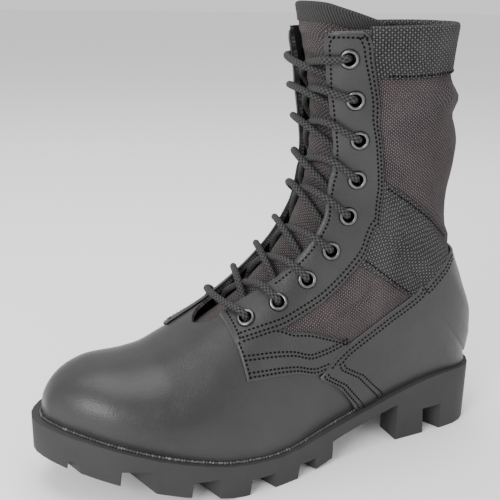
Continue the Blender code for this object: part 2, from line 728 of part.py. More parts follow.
# Tongue: section, half its width round the foot in shaft halves, how far it lies under the upper's face
TONGUE_HALF, TONGUE_UNDER = 1, 2
TONGUE_ROWS = [
    (7.7, 0.60, 0.0029),
    (8.5, 0.66, 0.0040),
    (9.5, 0.75, 0.0078),
    (12.0, 0.85, 0.0080),
    (18.0, 0.95, 0.0080),
    (24.0, 1.15, 0.0080),
    (28.0, 1.48, 0.0080),
    (30.0, 1.62, 0.0080),
]
TONGUE_SWELL = 0.0042  # how far its middle rises between the lacing edges
TONGUE_SECTIONS = [7.7, 8.5, 9.5, 10.5, 12, 13, 14, 15, 16.5, 18, 19.5, 21, 23, 25, 27, 28.5, 29.9]
TONGUE_DROP = (26.0, 0.19)  # section from which its sides fall off, and by how much of a section for each
TONGUE_ACROSS = 6  # columns of its mesh on each side of the ridge


def tongue():
    """The padded tongue under the lacing gap, its middle swelling up between the edges."""
    outside, inside, quads = [], [], []
    first = TONGUE_SECTIONS[0]
    for section in TONGUE_SECTIONS:
        half = SHAFT_HALF * float(curve(TONGUE_ROWS, TONGUE_HALF, section))
        under = float(curve(TONGUE_ROWS, TONGUE_UNDER, section))
        for column in range(-TONGUE_ACROSS, TONGUE_ACROSS + 1):
            side = OUTER if column > 0 else INNER
            way = abs(column) / TONGUE_ACROSS
            at = section - TONGUE_DROP[1] * max(0, section - TONGUE_DROP[0]) * way**2
            share = way * half / float(SKINS[side].girth(at))
            swell = TONGUE_SWELL * min(1, (section - first) / 3) * max(0, math.cos(math.pi * way)) ** 2
            lift = (swell if way < 0.5 else 0.0) - under
            outside.append(SKINS[side].at(at, share, lift))
            inside.append(SKINS[side].at(at, share, lift - TONGUE))
    width = 2 * TONGUE_ACROSS + 1
    for row in range(len(TONGUE_SECTIONS) - 1):
        for column in range(width - 1):
            here = row * width + column
            quads.append([here, here + 1, here + width + 1, here + width])
    return wall("tongue", outside, inside, quads, nylon)


def rows_of(sides, low, high, own, span):
    """An overlay's rows: its ends, its own, the upper's, and where its edges cross the upper's columns."""
    rows = {low, high, *own}

    def add(row):
        if low < row < high and min(abs(row - other) for other in rows) > ROW_STEP:
            rows.add(row)

    for row in UPPER_ROWS:
        add(row)
    trial = np.linspace(low, high, int((high - low) / ROW_STEP))
    for side in sides:
        skin = SKINS[side]
        across = np.array([[skin.across(section, edge) for edge in span(skin, section)] for section in trial])
        for place in np.argwhere(np.diff(np.floor(across), axis=0)):
            here, there = across[place[0], place[1]], across[place[0] + 1, place[1]]
            part = (math.floor(max(here, there)) - here) / (there - here)
            add(float(trial[place[0]] + part * (trial[1] - trial[0])))
    return sorted(rows)


def overlay(name, sides, low, high, own, span, thick, finish, lift=OVERLAY):
    """A piece on the upper's flats; span gives the shares at which it begins and ends in a section."""
    sections = rows_of(sides, low, high, own, span)

    def place(side, row, column):
        section = sections[row]
        first, last = span(SKINS[side], section)
        last = max(last, first + NARROWEST)
        lines = SKINS[side].columns(section)
        snap = SNAP * (lines[1] - lines[0])
        share = float(lines[column])
        if share < first + snap:
            share = first
        elif share > last - snap:
            share = last
        return section, share

    return sheet(name, sides, len(sections) - 1, place, lift, lift + thick, finish)


def eyestay(side):
    """The leather facing that carries one side's eyelets, its foot running on over the vamp."""
    low, high = STAY_FOOT[side], STAY_ROUND[-1][0]
    own = [row[0] for row in STAY_ROUND]

    def span(skin, section):
        first = float(skin.throat(section))
        if side == INNER and section < STAY_LEAVES:
            first = FLAP_EDGE + FLAP_LEAN * (STAY_LEAVES - section)
        last = float(skin.stay_rear(section))
        pull = float(curve(STAY_ROUND, 1, section)) * (last - first)
        return first + pull, last - pull

    name = "eyestay_outer" if side == OUTER else "eyestay_inner"
    return overlay(name, (side,), low, high, own, span, STAY_THICK, leather)


def band(side):
    """The leather band along the side, between the eyestay's foot and the heel counter."""
    own = [row[0] for row in BAND_EDGES]

    def span(skin, section):
        first, last = (float(curve(BAND_EDGES, edge, section)) for edge in (1, 2))
        if section > COUNTER_TOP[0][0]:
            last = min(last, float(curve(COUNTER_TOP, 1, section)) - SEAM_SHARE)
        return first, last

    name = "band_outer" if side == OUTER else "band_inner"
    return overlay(name, (side,), own[0], own[-1], own, span, BAND_THICK, leather)


def backstay():
    """The leather strip up the middle of the back above the counter."""

    def span(skin, section):
        return skin.away(section, 1.0, -BACKSTAY_HALF), 1.0

    return overlay("backstay", (OUTER, INNER), *BACKSTAY, [], span, BAND_THICK, leather)


def counter():
    """The heel counter, one piece of leather round the back, its front ends running down to the sole."""
    own = [row[0] for row in COUNTER_FRONT + STRAP_TOP[1:]]
    high = COUNTER_TOP[-1][0] - 0.01

    def span(skin, section):
        return float(curve(COUNTER_TOP, 1, section)), float(curve(COUNTER_FRONT, 1, section))

    return overlay("counter", (OUTER, INNER), own[0], high, own, span, COUNTER_THICK, leather)


def ankle_strap(side):
    """The webbing across the ankle from the eyestay to the counter."""
    low, high = STRAP_LOW[0][0] + 0.1, STRAP_TOP[-1][0]
    own = [row[0] for row in (STRAP_LOW + STRAP_TOP)[1:]]

    def span(skin, section):
        first = skin.away(section, float(skin.stay_rear(section)), SEAM)
        last = float(curve(COUNTER_TOP, 1, section)) - SEAM_SHARE
        if section < STRAP_LOW[-1][0]:
            last = min(last, float(curve(STRAP_LOW, 1, section)))
        if section > STRAP_TOP[0][0]:
            first = max(first, float(curve(STRAP_TOP, 1, section)))
        return first, last

    name = "ankle_strap_outer" if side == OUTER else "ankle_strap_inner"
    return overlay(name, (side,), low, high, own, span, WEB_THICK, nylon)


def collar_band():
    """The webbing bound round the collar."""
    low, own = COLLAR_LOW[0][0] + 0.1, [row[0] for row in COLLAR_LOW[1:]]

    def span(skin, section):
        first = skin.away(section, float(skin.stay_rear(section)), SEAM)
        return first, float(curve(COLLAR_LOW, 1, section))

    return overlay("collar_band", (OUTER, INNER), low, COLLAR, own, span, WEB_THICK, nylon, COLLAR_LIFT)


def eyelet_frame(side, section, share):
    """A frame in an eyelet's place: z outward, its origin as high as the eyestay reaches under the rim."""
    skin = SKINS[side]
    face = OVERLAY + STAY_THICK
    at, out = Vector(skin.flat(section, share, face)), Vector(skin.normal(section, share))
    before, after = skin.at(section - 0.1, share), skin.at(section + 0.1, share)
    sections = 0.2 * EYELET_RADIUS / float(np.linalg.norm(after - before))
    shares = EYELET_RADIUS / float(skin.girth(section))
    rise = 0.0
    for step in range(2 * EYELET_SIDES):
        angle = math.pi * step / EYELET_SIDES
        beside = skin.flat(section + sections * math.sin(angle), share + shares * math.cos(angle), face)
        rise = max(rise, (Vector(beside) - at).dot(out))
    return Matrix.Translation(at + out * rise) @ out.to_track_quat("Z", "Y").to_matrix().to_4x4()


def ring(name, profile, sides, frame, finish):
    """A closed ring turned round a frame's z from a closed profile of (radius, height)."""
    vertices, faces = [], []
    count = len(profile)
    for step in range(sides):
        angle = math.tau * step / sides
        for radius, height in profile:
            vertices.append(frame @ Vector((radius * math.cos(angle), radius * math.sin(angle), height)))
    for step in range(sides):
        here, there = step * count, (step + 1) % sides * count
        for k in range(count):
            after = (k + 1) % count
            faces.append([here + k, there + k, there + after, here + after])
    return node(name, vertices, faces, finish)


def drum(frame, radius, low, high, sides):
    """A solid cylinder along a frame's z."""
    vertices = []
    for height in (low, high):
        for step in range(sides):
            angle = math.tau * step / sides
            vertices.append(frame @ Vector((radius * math.cos(angle), radius * math.sin(angle), height)))
    faces = [list(range(sides)), list(range(2 * sides - 1, sides - 1, -1))]
    faces += [[k, (k + 1) % sides, (k + 1) % sides + sides, k + sides] for k in range(sides)]
    return node("drum", vertices, faces, steel)


def eyelets(shaft, stays):
    """Punch the holes through the upper and the eyestays and set a ring in each."""
    rings = []
    profile = [
        (EYELET_BORE, -EYELET_DEEP),
        (EYELET_BARREL, -EYELET_DEEP),
        (EYELET_BARREL, GAP),
        (EYELET_RADIUS, GAP),
        (EYELET_RADIUS - EYELET_RIM / 2, GAP + EYELET_RIM),
        (EYELET_BORE + EYELET_RIM / 2, GAP + EYELET_RIM),
    ]
    for side in (OUTER, INNER):
        for number, row in enumerate(EYELETS, 1):
            frame = eyelet_frame(side, row[0], row[1] if side == OUTER else row[2])
            for target in (shaft, stays[side]):
                drill(target, [drum(frame, EYELET_BARREL + GAP, -2 * EYELET_DEEP, EYELET_DEEP, EYELET_SIDES)])
            label = "outer" if side == OUTER else "inner"
            rings.append(ring(f"eyelet_{label}_{number}", profile, EYELET_SIDES, frame, steel))
    return rings


def cord(name, points, radius, sides, finish):
    """A round cord along points, with flat ends."""
    way = [Vector(point) for point in points]
    vertices, faces = [], []
    across = None
    for k, point in enumerate(way):
        ahead = (way[min(k + 1, len(way) - 1)] - way[max(k - 1, 0)]).normalized()
        if across is None:
            across = ahead.orthogonal()
        across = (across - ahead * across.dot(ahead)).normalized()
        other = ahead.cross(across)
        for step in range(sides):
            angle = math.tau * step / sides
            vertices.append(point + (across * math.cos(angle) + other * math.sin(angle)) * radius)
    for k in range(len(way) - 1):
        for step in range(sides):
            after = (step + 1) % sides
            here, there = k * sides, (k + 1) * sides
            faces.append([here + step, here + after, there + after, there + step])
    faces += [list(range(sides))[::-1], list(range((len(way) - 1) * sides, len(way) * sides))]
    return node(name, vertices, faces, finish)


LACE_RISE = OVERLAY + STAY_THICK + GAP + LACE_RADIUS + 0.0009  # middle of a crossing over the eyestays
LACE_STAND = EYELET_RADIUS + LACE_RADIUS + 0.0006  # how far a crossing stops short of an eyelet's middle
LACE_STEP = 0.06  # part of a section by which a crossing ends ahead of an eyelet or behind it
LACE_IN = 0.0015  # how far inside the lacing gap a crossing leaves the eyestay's edge
LACE_DIP = 0.0030  # how far the middle of a crossing is below the foot's ridge line there


def lace():
    """The crossings and the bar at the toe end as one joined lattice over the gap."""

    def spot(side, number, forward, inside):
        """A point over an eyelet's front, or over the edge of the gap in front of it."""
        section, share = EYELETS[number][0] + forward, EYELETS[number][1 if side == OUTER else 2]
        skin = SKINS[side]
        if inside:
            share, stand = float(skin.throat(section)), LACE_IN
        else:
            stand = LACE_STAND
        return skin.at(section, skin.away(section, share, -stand), LACE_RISE)

    def bar(start, finish, forward):
        """A bar from one eyelet's front to another's, bowed over the ridge between them."""
        (side, number), (other, after) = start, finish
        way = [spot(side, number, forward, inside) for inside in (False, True)]
        section = (EYELETS[number][0] + EYELETS[after][0]) / 2 + (forward if after == number else 0)
        way.append(SKINS[OUTER].at(section, 0.0, LACE_RISE - LACE_DIP))
        back = forward if after == number else -forward
        way += [spot(other, after, back, inside) for inside in (True, False)]
        return cord("bar", way, LACE_RADIUS, LACE_SIDES, cotton)

    made = bar((OUTER, 0), (INNER, 0), -2 * LACE_STEP)
    for number in range(len(EYELETS) - 1):
        for side in (OUTER, INNER):
            crossing = bar((side, number), (-side, number + 1), LACE_STEP)
            drill(made, [crossing], "UNION")
    made.name = made.data.name = "lace"
    return made


for thing in list(bpy.data.objects):
    bpy.data.objects.remove(thing)

rubber = material("rubber", (0.035, 0.035, 0.036), 0.75)
leather = material("leather", (0.045, 0.045, 0.046), 0.5)
nylon = material("nylon", (0.05, 0.045, 0.046), 0.9)
felt = material("felt", (0.12, 0.11, 0.10), 0.95)
steel = material("steel", (0.08, 0.08, 0.08), 0.3)
cotton = material("cotton", (0.03, 0.03, 0.032), 0.9)

shaft = upper()
stays = {side: eyestay(side) for side in (OUTER, INNER)}
rings = eyelets(shaft, stays)
pieces = [outsole(), insole(), shaft, tongue(), stays[OUTER], stays[INNER], band(OUTER), band(INNER)]
pieces += [backstay(), counter(), ankle_strap(OUTER), ankle_strap(INNER), collar_band()]
pieces += rings
pieces.append(lace())
for piece in pieces:
    smooth(piece)

spots = np.array([vertex.co for piece in pieces for vertex in piece.data.vertices])
low, high = spots.min(axis=0), spots.max(axis=0)
stand = bpy.data.objects.new("stand", None)
bpy.context.scene.collection.objects.link(stand)
stand.location = (-(low[0] + high[0]) / 2, -(low[1] + high[1]) / 2, 0)
for piece in pieces:
    piece.parent = stand
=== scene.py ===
# %% [markdown]
# # A left jungle boot
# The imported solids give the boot's true size and place. This lesson dresses them: leather, nylon cloth,
# webbing, thread, a braided lace, steel eyelets and a lugged rubber sole, seen from the photograph's side.
# Every length is in metres. x runs forward from the heel, y to the wearer's left, z up from the floor.

import math

import bpy
import numpy as np
from mathutils import Matrix, Vector


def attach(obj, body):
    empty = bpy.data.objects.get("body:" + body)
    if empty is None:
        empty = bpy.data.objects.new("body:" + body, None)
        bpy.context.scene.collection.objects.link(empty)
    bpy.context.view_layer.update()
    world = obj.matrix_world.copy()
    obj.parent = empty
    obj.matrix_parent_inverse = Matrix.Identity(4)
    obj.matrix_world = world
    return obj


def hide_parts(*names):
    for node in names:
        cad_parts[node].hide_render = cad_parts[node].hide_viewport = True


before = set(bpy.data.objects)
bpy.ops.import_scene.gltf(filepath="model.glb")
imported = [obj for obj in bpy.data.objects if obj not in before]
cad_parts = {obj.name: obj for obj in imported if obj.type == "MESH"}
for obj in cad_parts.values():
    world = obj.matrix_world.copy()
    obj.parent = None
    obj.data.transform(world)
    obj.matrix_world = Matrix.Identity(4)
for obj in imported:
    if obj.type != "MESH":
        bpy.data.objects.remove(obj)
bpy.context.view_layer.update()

# %% [markdown]
# ## The last
# A shoemaker builds an upper over a last. Here the last is a table of sections, from the tip of the toe
# over the instep to the collar, and a share of the way round each section from the ridge to the sole or
# to the middle of the back. Every piece is cut in these two numbers, so all of them fit one another.

# %% Sizes and sections of the last
LENGTH = 0.309  # back of the heel to the tip of the sole
BALL_HALF = 0.0565  # half the width of the sole at the ball
HEEL_HEIGHT = 0.0435  # floor to the upper at the heel
BOOT_HEIGHT = 0.277  # floor to the collar
SHAFT_HALF = 0.039  # half the width of the shaft
STAND = np.array([-0.153772, -0.000440, 0.0])  # from the back of the heel to the middle of the footprint
WALL = 0.0024
SEAT_GAP = 0.0005  # between the sole's top and what stands on it
SOLE_LIP = 0.004  # how far the sole stands out from the vamp
HEEL_LIP = 0.0066  # how far it stands out from the lining of the heel
REAR_EDGE = 0.0045  # back of the upper, ahead of the back of the sole
TIP_EDGE = 0.0065  # front of the upper, behind the tip of the sole
INSOLE = 0.003
INSOLE_CLEAR = 0.0025
TONGUE = 0.0025

OUTER, INNER = 1, -1  # the wearer's left and right side of this left boot
SIDES = {OUTER: "outer", INNER: "inner"}
COLUMN = {OUTER: 1, INNER: 2}  # where the tables below hold each side's values

# Edge of the sole from heel to toe: share of the length, then y in shares of the ball's half width
SOLE_EDGE = [
    (0.000, 0.00, 0.00),
    (0.022, 0.46, -0.46),
    (0.065, 0.60, -0.60),
    (0.135, 0.64, -0.645),
    (0.240, 0.66, -0.64),
    (0.310, 0.70, -0.60),
    (0.390, 0.78, -0.58),
    (0.455, 0.86, -0.62),
    (0.530, 0.955, -0.73),
    (0.605, 1.00, -0.86),
    (0.665, 1.00, -0.94),
    (0.730, 0.96, -0.985),
    (0.790, 0.88, -0.98),
    (0.835, 0.79, -0.94),
    (0.875, 0.69, -0.88),
    (0.916, 0.54, -0.77),
    (0.955, 0.34, -0.60),
    (0.987, 0.09, -0.38),
    (1.000, -0.13, -0.13),
]

# Side view of the sole: share of the length, then the height of its top in shares of the heel height
SIDE_SEAT = 1
SOLE_SIDE = [
    (0.000, 1.00),
    (0.090, 1.01),
    (0.140, 0.98),
    (0.240, 0.82),
    (0.310, 0.70),
    (0.400, 0.60),
    (0.455, 0.535),
    (0.485, 0.50),
    (0.540, 0.465),
    (0.630, 0.50),
    (0.665, 0.54),
    (0.740, 0.655),
    (0.800, 0.76),
    (0.870, 0.90),
    (0.930, 1.00),
    (1.000, 1.06),
]

# Sections of the upper, tip of the toe to collar: ridge forward and up, sole or back point forward and
# up from the sole's seat, outer and inner half y, middle y, place of the belly, roundness of crown, flank.
# From section 22 up the flanks are a little fuller than the solid's, as soft cloth hangs.
RIDGE_X, RIDGE_Z, BASE_X, BASE_RISE, OUT, IN, MIDDLE, BELLY, CROWN, FLANK = range(1, 11)
SECTIONS = [
    (0, 0.979, 0.176, 0.9790, 0.000, -0.130, -0.130, -0.130, 0.36, 0.80, 0.50),
    (1, 0.974, 0.206, 0.9760, 0.000, 0.010, -0.265, -0.130, 0.35, 0.80, 0.50),
    (2, 0.960, 0.233, 0.9650, 0.000, 0.125, -0.385, -0.127, 0.33, 0.80, 0.50),
    (3, 0.938, 0.253, 0.9450, 0.000, 0.285, -0.530, -0.122, 0.30, 0.82, 0.50),
    (4, 0.906, 0.268, 0.9140, 0.000, 0.455, -0.685, -0.115, 0.28, 0.84, 0.50),
    (5, 0.864, 0.276, 0.8720, 0.000, 0.625, -0.820, -0.106, 0.26, 0.86, 0.50),
    (6, 0.815, 0.275, 0.8210, 0.000, 0.755, -0.895, -0.097, 0.26, 0.86, 0.50),
    (7, 0.768, 0.281, 0.7700, 0.000, 0.850, -0.925, -0.088, 0.26, 0.84, 0.50),
    (8, 0.718, 0.307, 0.7130, 0.000, 0.915, -0.925, -0.080, 0.25, 0.80, 0.50),
    (9, 0.664, 0.341, 0.6530, 0.000, 0.940, -0.885, -0.070, 0.25, 0.75, 0.50),
    (10, 0.611, 0.379, 0.5800, 0.000, 0.925, -0.800, -0.056, 0.25, 0.70, 0.50),
    (11, 0.558, 0.426, 0.5000, 0.000, 0.860, -0.715, -0.044, 0.27, 0.65, 0.50),
    (12, 0.513, 0.476, 0.4130, 0.000, 0.770, -0.665, -0.035, 0.31, 0.60, 0.55),
    (13, 0.477, 0.527, 0.3160, 0.000, 0.705, -0.645, -0.026, 0.36, 0.56, 0.60),
    (14, 0.453, 0.579, 0.2130, 0.000, 0.665, -0.635, -0.018, 0.42, 0.53, 0.65),
    (15, 0.437, 0.635, 0.1160, 0.000, 0.645, -0.630, -0.009, 0.47, 0.52, 0.70),
    (16, 0.433, 0.661, 0.0710, 0.000, 0.640, -0.630, -0.004, 0.47, 0.51, 0.70),
    (17, 0.430, 0.682, 0.0390, 0.000, 0.640, -0.630, 0.000, 0.46, 0.50, 0.70),
    (18, 0.428, 0.700, 0.0205, 0.000, 0.640, -0.630, 0.000, 0.45, 0.50, 0.68),
    (19, 0.426, 0.718, 0.0145, 0.000, 0.640, -0.630, 0.000, 0.45, 0.50, 0.64),
    (20, 0.424, 0.744, 0.0080, 0.050, 0.645, -0.635, 0.000, 0.46, 0.50, 0.62),
    (21, 0.423, 0.769, 0.0040, 0.110, 0.650, -0.640, 0.000, 0.47, 0.50, 0.60),
    (22, 0.423, 0.798, 0.0260, 0.195, 0.655, -0.645, 0.000, 0.48, 0.50, 0.68),
    (23, 0.424, 0.827, 0.0565, 0.282, 0.660, -0.650, 0.000, 0.49, 0.50, 0.68),
    (24, 0.426, 0.856, 0.0820, 0.365, 0.665, -0.655, 0.000, 0.50, 0.50, 0.68),
    (25, 0.429, 0.877, 0.0920, 0.437, 0.670, -0.660, 0.000, 0.50, 0.50, 0.68),
    (26, 0.432, 0.903, 0.0820, 0.527, 0.680, -0.670, 0.000, 0.50, 0.50, 0.68),
    (27, 0.436, 0.931, 0.0870, 0.621, 0.690, -0.680, 0.000, 0.50, 0.50, 0.68),
    (28, 0.442, 0.962, 0.1015, 0.730, 0.700, -0.690, 0.000, 0.50, 0.50, 0.68),
    (29, 0.449, 0.991, 0.0935, 0.837, 0.710, -0.700, 0.000, 0.50, 0.50, 0.68),
    (30, 0.456, 1.045, 0.0880, 0.900, 0.720, -0.710, 0.000, 0.50, 0.50, 0.68),
]
CLOSED_BACK = 19  # from this section on the upper closes behind the heel
COLLAR = 29
TOP = 30

# %% Edges of the pieces that lie on the last
# Lacing gap: section, then the share of the way round from the ridge to its outer and inner edge
THROAT = 8.9
THROAT_EDGES = [
    (8.9, 0.000, 0.000),
    (9.1, 0.070, 0.080),
    (9.4, 0.105, 0.130),
    (10.0, 0.118, 0.165),
    (10.6, 0.134, 0.170),
    (11.2, 0.156, 0.172),
    (11.9, 0.176, 0.174),
    (12.7, 0.178, 0.177),
    (13.5, 0.176, 0.180),
    (14.5, 0.166, 0.178),
    (15.2, 0.146, 0.170),
    (16.5, 0.128, 0.155),
    (18.3, 0.117, 0.140),
    (20.5, 0.112, 0.136),
    (22.3, 0.116, 0.141),
    (24.0, 0.123, 0.150),
    (26.0, 0.130, 0.162),
    (28.0, 0.148, 0.178),
    (29.0, 0.156, 0.186),
]

# Rear edge of the eyestays on the same scale, outer and inner
STAY_REARS = [
    (8.3, 0.300, 0.310),
    (9.7, 0.345, 0.350),
    (10.6, 0.366, 0.370),
    (11.5, 0.390, 0.390),
    (12.6, 0.396, 0.396),
    (13.7, 0.388, 0.388),
    (14.5, 0.378, 0.380),
    (16.5, 0.338, 0.345),
    (18.3, 0.320, 0.330),
    (20.5, 0.311, 0.325),
    (22.3, 0.331, 0.343),
    (23.9, 0.350, 0.362),
    (25.4, 0.347, 0.360),
    (27.3, 0.334, 0.350),
    (29.0, 0.333, 0.350),
]

STAY_FOOT = {OUTER: 9.72, INNER: 8.3}  # the section at which each eyestay begins
STAY_LEAVES = 10  # section below which the inner one leaves the lacing gap and runs on as a flap
FLAP_EDGE, FLAP_LEAN = 0.165, 0.030  # the flap's front edge: a share of the way round, more by each section
# The eyestay's rounded top: section, share cut off each edge
STAY_ROUND = [(28.3, 0.0), (28.6, 0.04), (28.85, 0.14), (28.95, 0.24)]

# Top edge of the heel counter on the same scale; under its toe end it is the front edge
COUNTER_TOP = [
    (12.00, 0.706),
    (12.38, 0.671),
    (12.76, 0.640),
    (13.40, 0.627),
    (14.40, 0.620),
    (16.60, 0.598),
    (17.45, 0.587),
    (18.40, 0.564),
    (19.00, 0.557),
    (19.73, 0.577),
    (20.37, 0.600),
    (20.89, 0.620),
    (21.27, 0.643),
    (21.67, 0.678),
    (22.10, 0.720),
    (22.80, 0.820),
    (23.30, 0.925),
    (23.50, 1.000),
]
COUNTER_FRONT = [(12.0, 0.720), (12.4, 0.806), (12.68, 0.948), (12.73, 1.000)]

# Leather band under the eyestay, on each side: section, then its top and bottom edge on the same scale
BAND_EDGES = [
    (9.78, 0.372, 0.548),
    (10.1, 0.374, 0.558),
    (10.6, 0.380, 0.576),
    (11.3, 0.414, 0.620),
    (12.0, 0.470, 0.690),
    (12.6, 0.545, 0.700),
    (13.15, 0.624, 0.700),
]

# Ankle strap of webbing between the eyestay and the counter: its lower and its upper edge, as sections
# with the share of the way round that each has there
STRAP_LOW = [(14.54, 0.374), (14.98, 0.455), (15.60, 0.533), (16.39, 0.601)]
STRAP_TOP = [(21.91, 0.329), (22.56, 0.465), (23.00, 0.591), (23.23, 0.735)]

# Strip up the middle of the back: its lower and upper section, and half its width
BACKSTAY = (23.62, 25.0)
BACKSTAY_HALF = 0.012

# Lower edge of the collar's webbing on the same scale
COLLAR_LOW = [(27.0, 0.330), (27.33, 0.430), (27.66, 0.570), (27.9, 0.710)]
COLLAR_LOW += [(28.0, 0.814), (28.1, 0.907), (28.2, 1.0)]

# Eyelets: section and share of the way round for each from the toe up, outer and inner side
EYELETS = [
    (10.35, 0.250, 0.275),
    (11.47, 0.276, 0.280),
    (12.70, 0.273, 0.280),
    (14.06, 0.257, 0.268),
    (16.17, 0.226, 0.238),
    (20.26, 0.203, 0.218),
    (22.92, 0.232, 0.246),
    (25.36, 0.240, 0.256),
    (27.54, 0.236, 0.256),
]

# Tongue: section, half its width round the foot in shaft halves, how far it lies under the upper's face
TONGUE_HALF, TONGUE_UNDER = 1, 2
TONGUE_ROWS = [
    (7.7, 0.60, 0.0029),
    (8.5, 0.66, 0.0040),
    (9.5, 0.75, 0.0078),
    (12.0, 0.85, 0.0080),
    (18.0, 0.95, 0.0080),
    (24.0, 1.15, 0.0080),
    (28.0, 1.48, 0.0080),
    (30.0, 1.62, 0.0080),
]
TONGUE_SWELL = 0.0042  # how far its middle rises between the lacing edges
TONGUE_DROP = (26.0, 0.19)  # section from which its sides fall off, and by how much of a section for each
STAY_THICK = 0.0018
BAND_THICK = 0.0014
COUNTER_THICK = 0.0022
WEB_THICK = 0.0012
LACE_RADIUS = 0.00225
TINY = 1e-6
print("sections of the last:", len(SECTIONS))

# %% Curves through the tables
def curve(table, column, at):
    """A smooth curve, with no overshoot, through one column of a table against its first column."""
    knots = np.array([row[0] for row in table], float)
    values = np.array([row[column] for row in table], float)
    steps = np.diff(knots)
    rises = np.diff(values) / steps
    slopes = np.zeros(len(knots))
    slopes[0], slopes[-1] = rises[0], rises[-1]
    for knot in range(1, len(knots) - 1):
        before, after = rises[knot - 1], rises[knot]
        if before * after > 0:
            near, far = steps[knot - 1] + 2 * steps[knot], 2 * steps[knot - 1] + steps[knot]
            slopes[knot] = (near + far) / (near / before + far / after)
    at = np.clip(np.asarray(at, float), knots[0], knots[-1])
    place = np.clip(np.searchsorted(knots, at, "right") - 1, 0, len(steps) - 1)
    step = steps[place]
    part = (at - knots[place]) / step
    blend = part * part * (3 - 2 * part)
    pull = part * (1 - part) * step * ((1 - part) * slopes[place] - part * slopes[place + 1])
    return values[place] * (1 - blend) + values[place + 1] * blend + pull


def turn(share):
    """The angle that a share of the length has on a half circle, so that round ends come out round."""
    return np.arccos(1 - 2 * np.clip(share, 0, 1))


EDGE_BY_TURN = [(float(turn(row[0])),) + row[1:] for row in SOLE_EDGE]


def feather(side, x, inset=0.0):
    """The y of the upper's lower edge on one side, further in by the inset."""
    rear, front = REAR_EDGE + inset, LENGTH - TIP_EDGE - inset
    share = np.clip((np.asarray(x) - rear) / (front - rear), 0, 1)
    round_in = np.sin(turn(share))
    lip = SOLE_LIP + (HEEL_LIP - SOLE_LIP) * np.clip(1.6 - 2.4 * share, 0, 1) + inset
    edge = BALL_HALF * curve(EDGE_BY_TURN, COLUMN[side], turn(share))
    return edge - side * lip * (2 * round_in - round_in**2)


def seat(x):
    """The height of the sole's top."""
    return HEEL_HEIGHT * curve(SOLE_SIDE, SIDE_SEAT, np.asarray(x) / LENGTH)


def outlines(side, fine=8, across=96, around=240):
    """Points of one side of the upper's outer face: rows along the sections, columns from the ridge."""
    at = np.linspace(0, TOP, TOP * fine + 1)
    value = {column: curve(SECTIONS, column, at)[:, None] for column in range(1, 11)}
    ridge_x, ridge_z = value[RIDGE_X] * LENGTH, value[RIDGE_Z] * BOOT_HEIGHT
    base_x = value[BASE_X] * LENGTH
    base_z = seat(base_x) + SEAT_GAP + value[BASE_RISE] * BOOT_HEIGHT
    middle = value[MIDDLE] * BALL_HALF
    widest = value[OUT if side == OUTER else IN] * BALL_HALF - middle
    foot = np.where(at[:, None] < CLOSED_BACK, feather(side, base_x) - middle, 0.0)
    reach = np.hypot(base_x - ridge_x, base_z - ridge_z)
    belly = value[BELLY] * reach
    narrowing = np.clip(foot / np.where(abs(widest) < TINY, side, widest), 0, 1)
    narrowing[abs(widest[:, 0]) < TINY] = 1.0
    last = math.pi - np.arcsin(narrowing ** (1 / value[FLANK]))
    share = (1 - np.cos(np.linspace(0, math.pi, around))) / 2
    angle = last * share
    above = angle <= math.pi / 2
    depth_above = (reach - belly) * (1 - np.cos(angle))
    drop = np.maximum(-np.cos(last), TINY)
    depth_below = reach - belly + belly * np.minimum(-np.cos(angle) / drop, 1)
    depth = np.where(above, depth_above, depth_below)
    swell = np.sin(np.minimum(angle, math.pi)) ** np.where(above, value[CROWN], value[FLANK])
    way = depth / np.maximum(reach, TINY)
    points = np.stack(
        [
            ridge_x + (base_x - ridge_x) * way,
            middle + widest * np.where(angle >= math.pi - TINY, 0, swell),
            ridge_z + (base_z - ridge_z) * way,
        ],
        axis=2,
    )
    steps = np.linalg.norm(np.diff(points, axis=1), axis=2)
    girth = np.concatenate([np.zeros((len(at), 1)), np.cumsum(steps, axis=1)], axis=1)
    even = np.empty((len(at), across + 1, 3))
    for row in range(len(at)):
        wanted = np.linspace(0, girth[row, -1], across + 1)
        for axis in range(3):
            even[row, :, axis] = np.interp(wanted, girth[row], points[row, :, axis])
    return even, girth[:, -1]

# %% [markdown]
# ## The face of the last
# Sections and shares are turned into points on a smooth face, with the direction that is square to it.
# Near the bottom of the heel the sections run together, so the direction there is taken from the round of
# the heel instead.

# %% The face of the last
HEEL_MIDDLE = 0.038  # middle of the round of the heel, forward of its back
# How far the back of the soft shaft hangs in from the solid: section, distance
BACK_IN = [(20, 0.0), (21, 0.0027), (22, 0.0046), (23, 0.0060), (24, 0.0058), (25, 0.0040)]
BACK_IN += [(26, 0.0035), (27, 0.0050), (28, 0.0060), (29, 0.0061), (30, 0.0061)]
BACK_FROM, BACK_FADE = 0.45, 0.4  # share from which the back hangs in, and over how much of the way it grows
HEEL_SIDE = (0.74, 0.12)  # share where the round of the heel begins, and over how much
HEEL_BOTTOM = (16.8, 1.0)  # section from which it is counted, and over how many sections
HEEL_TOP = (20.2, 0.9)  # section at which it has ended, and over how many
HEEL_LIFT = 0.12  # how much the direction rises on the round of the heel


def ease(value):
    """A smooth step from 0 to 1."""
    value = np.clip(value, 0, 1)
    return value * value * (3 - 2 * value)


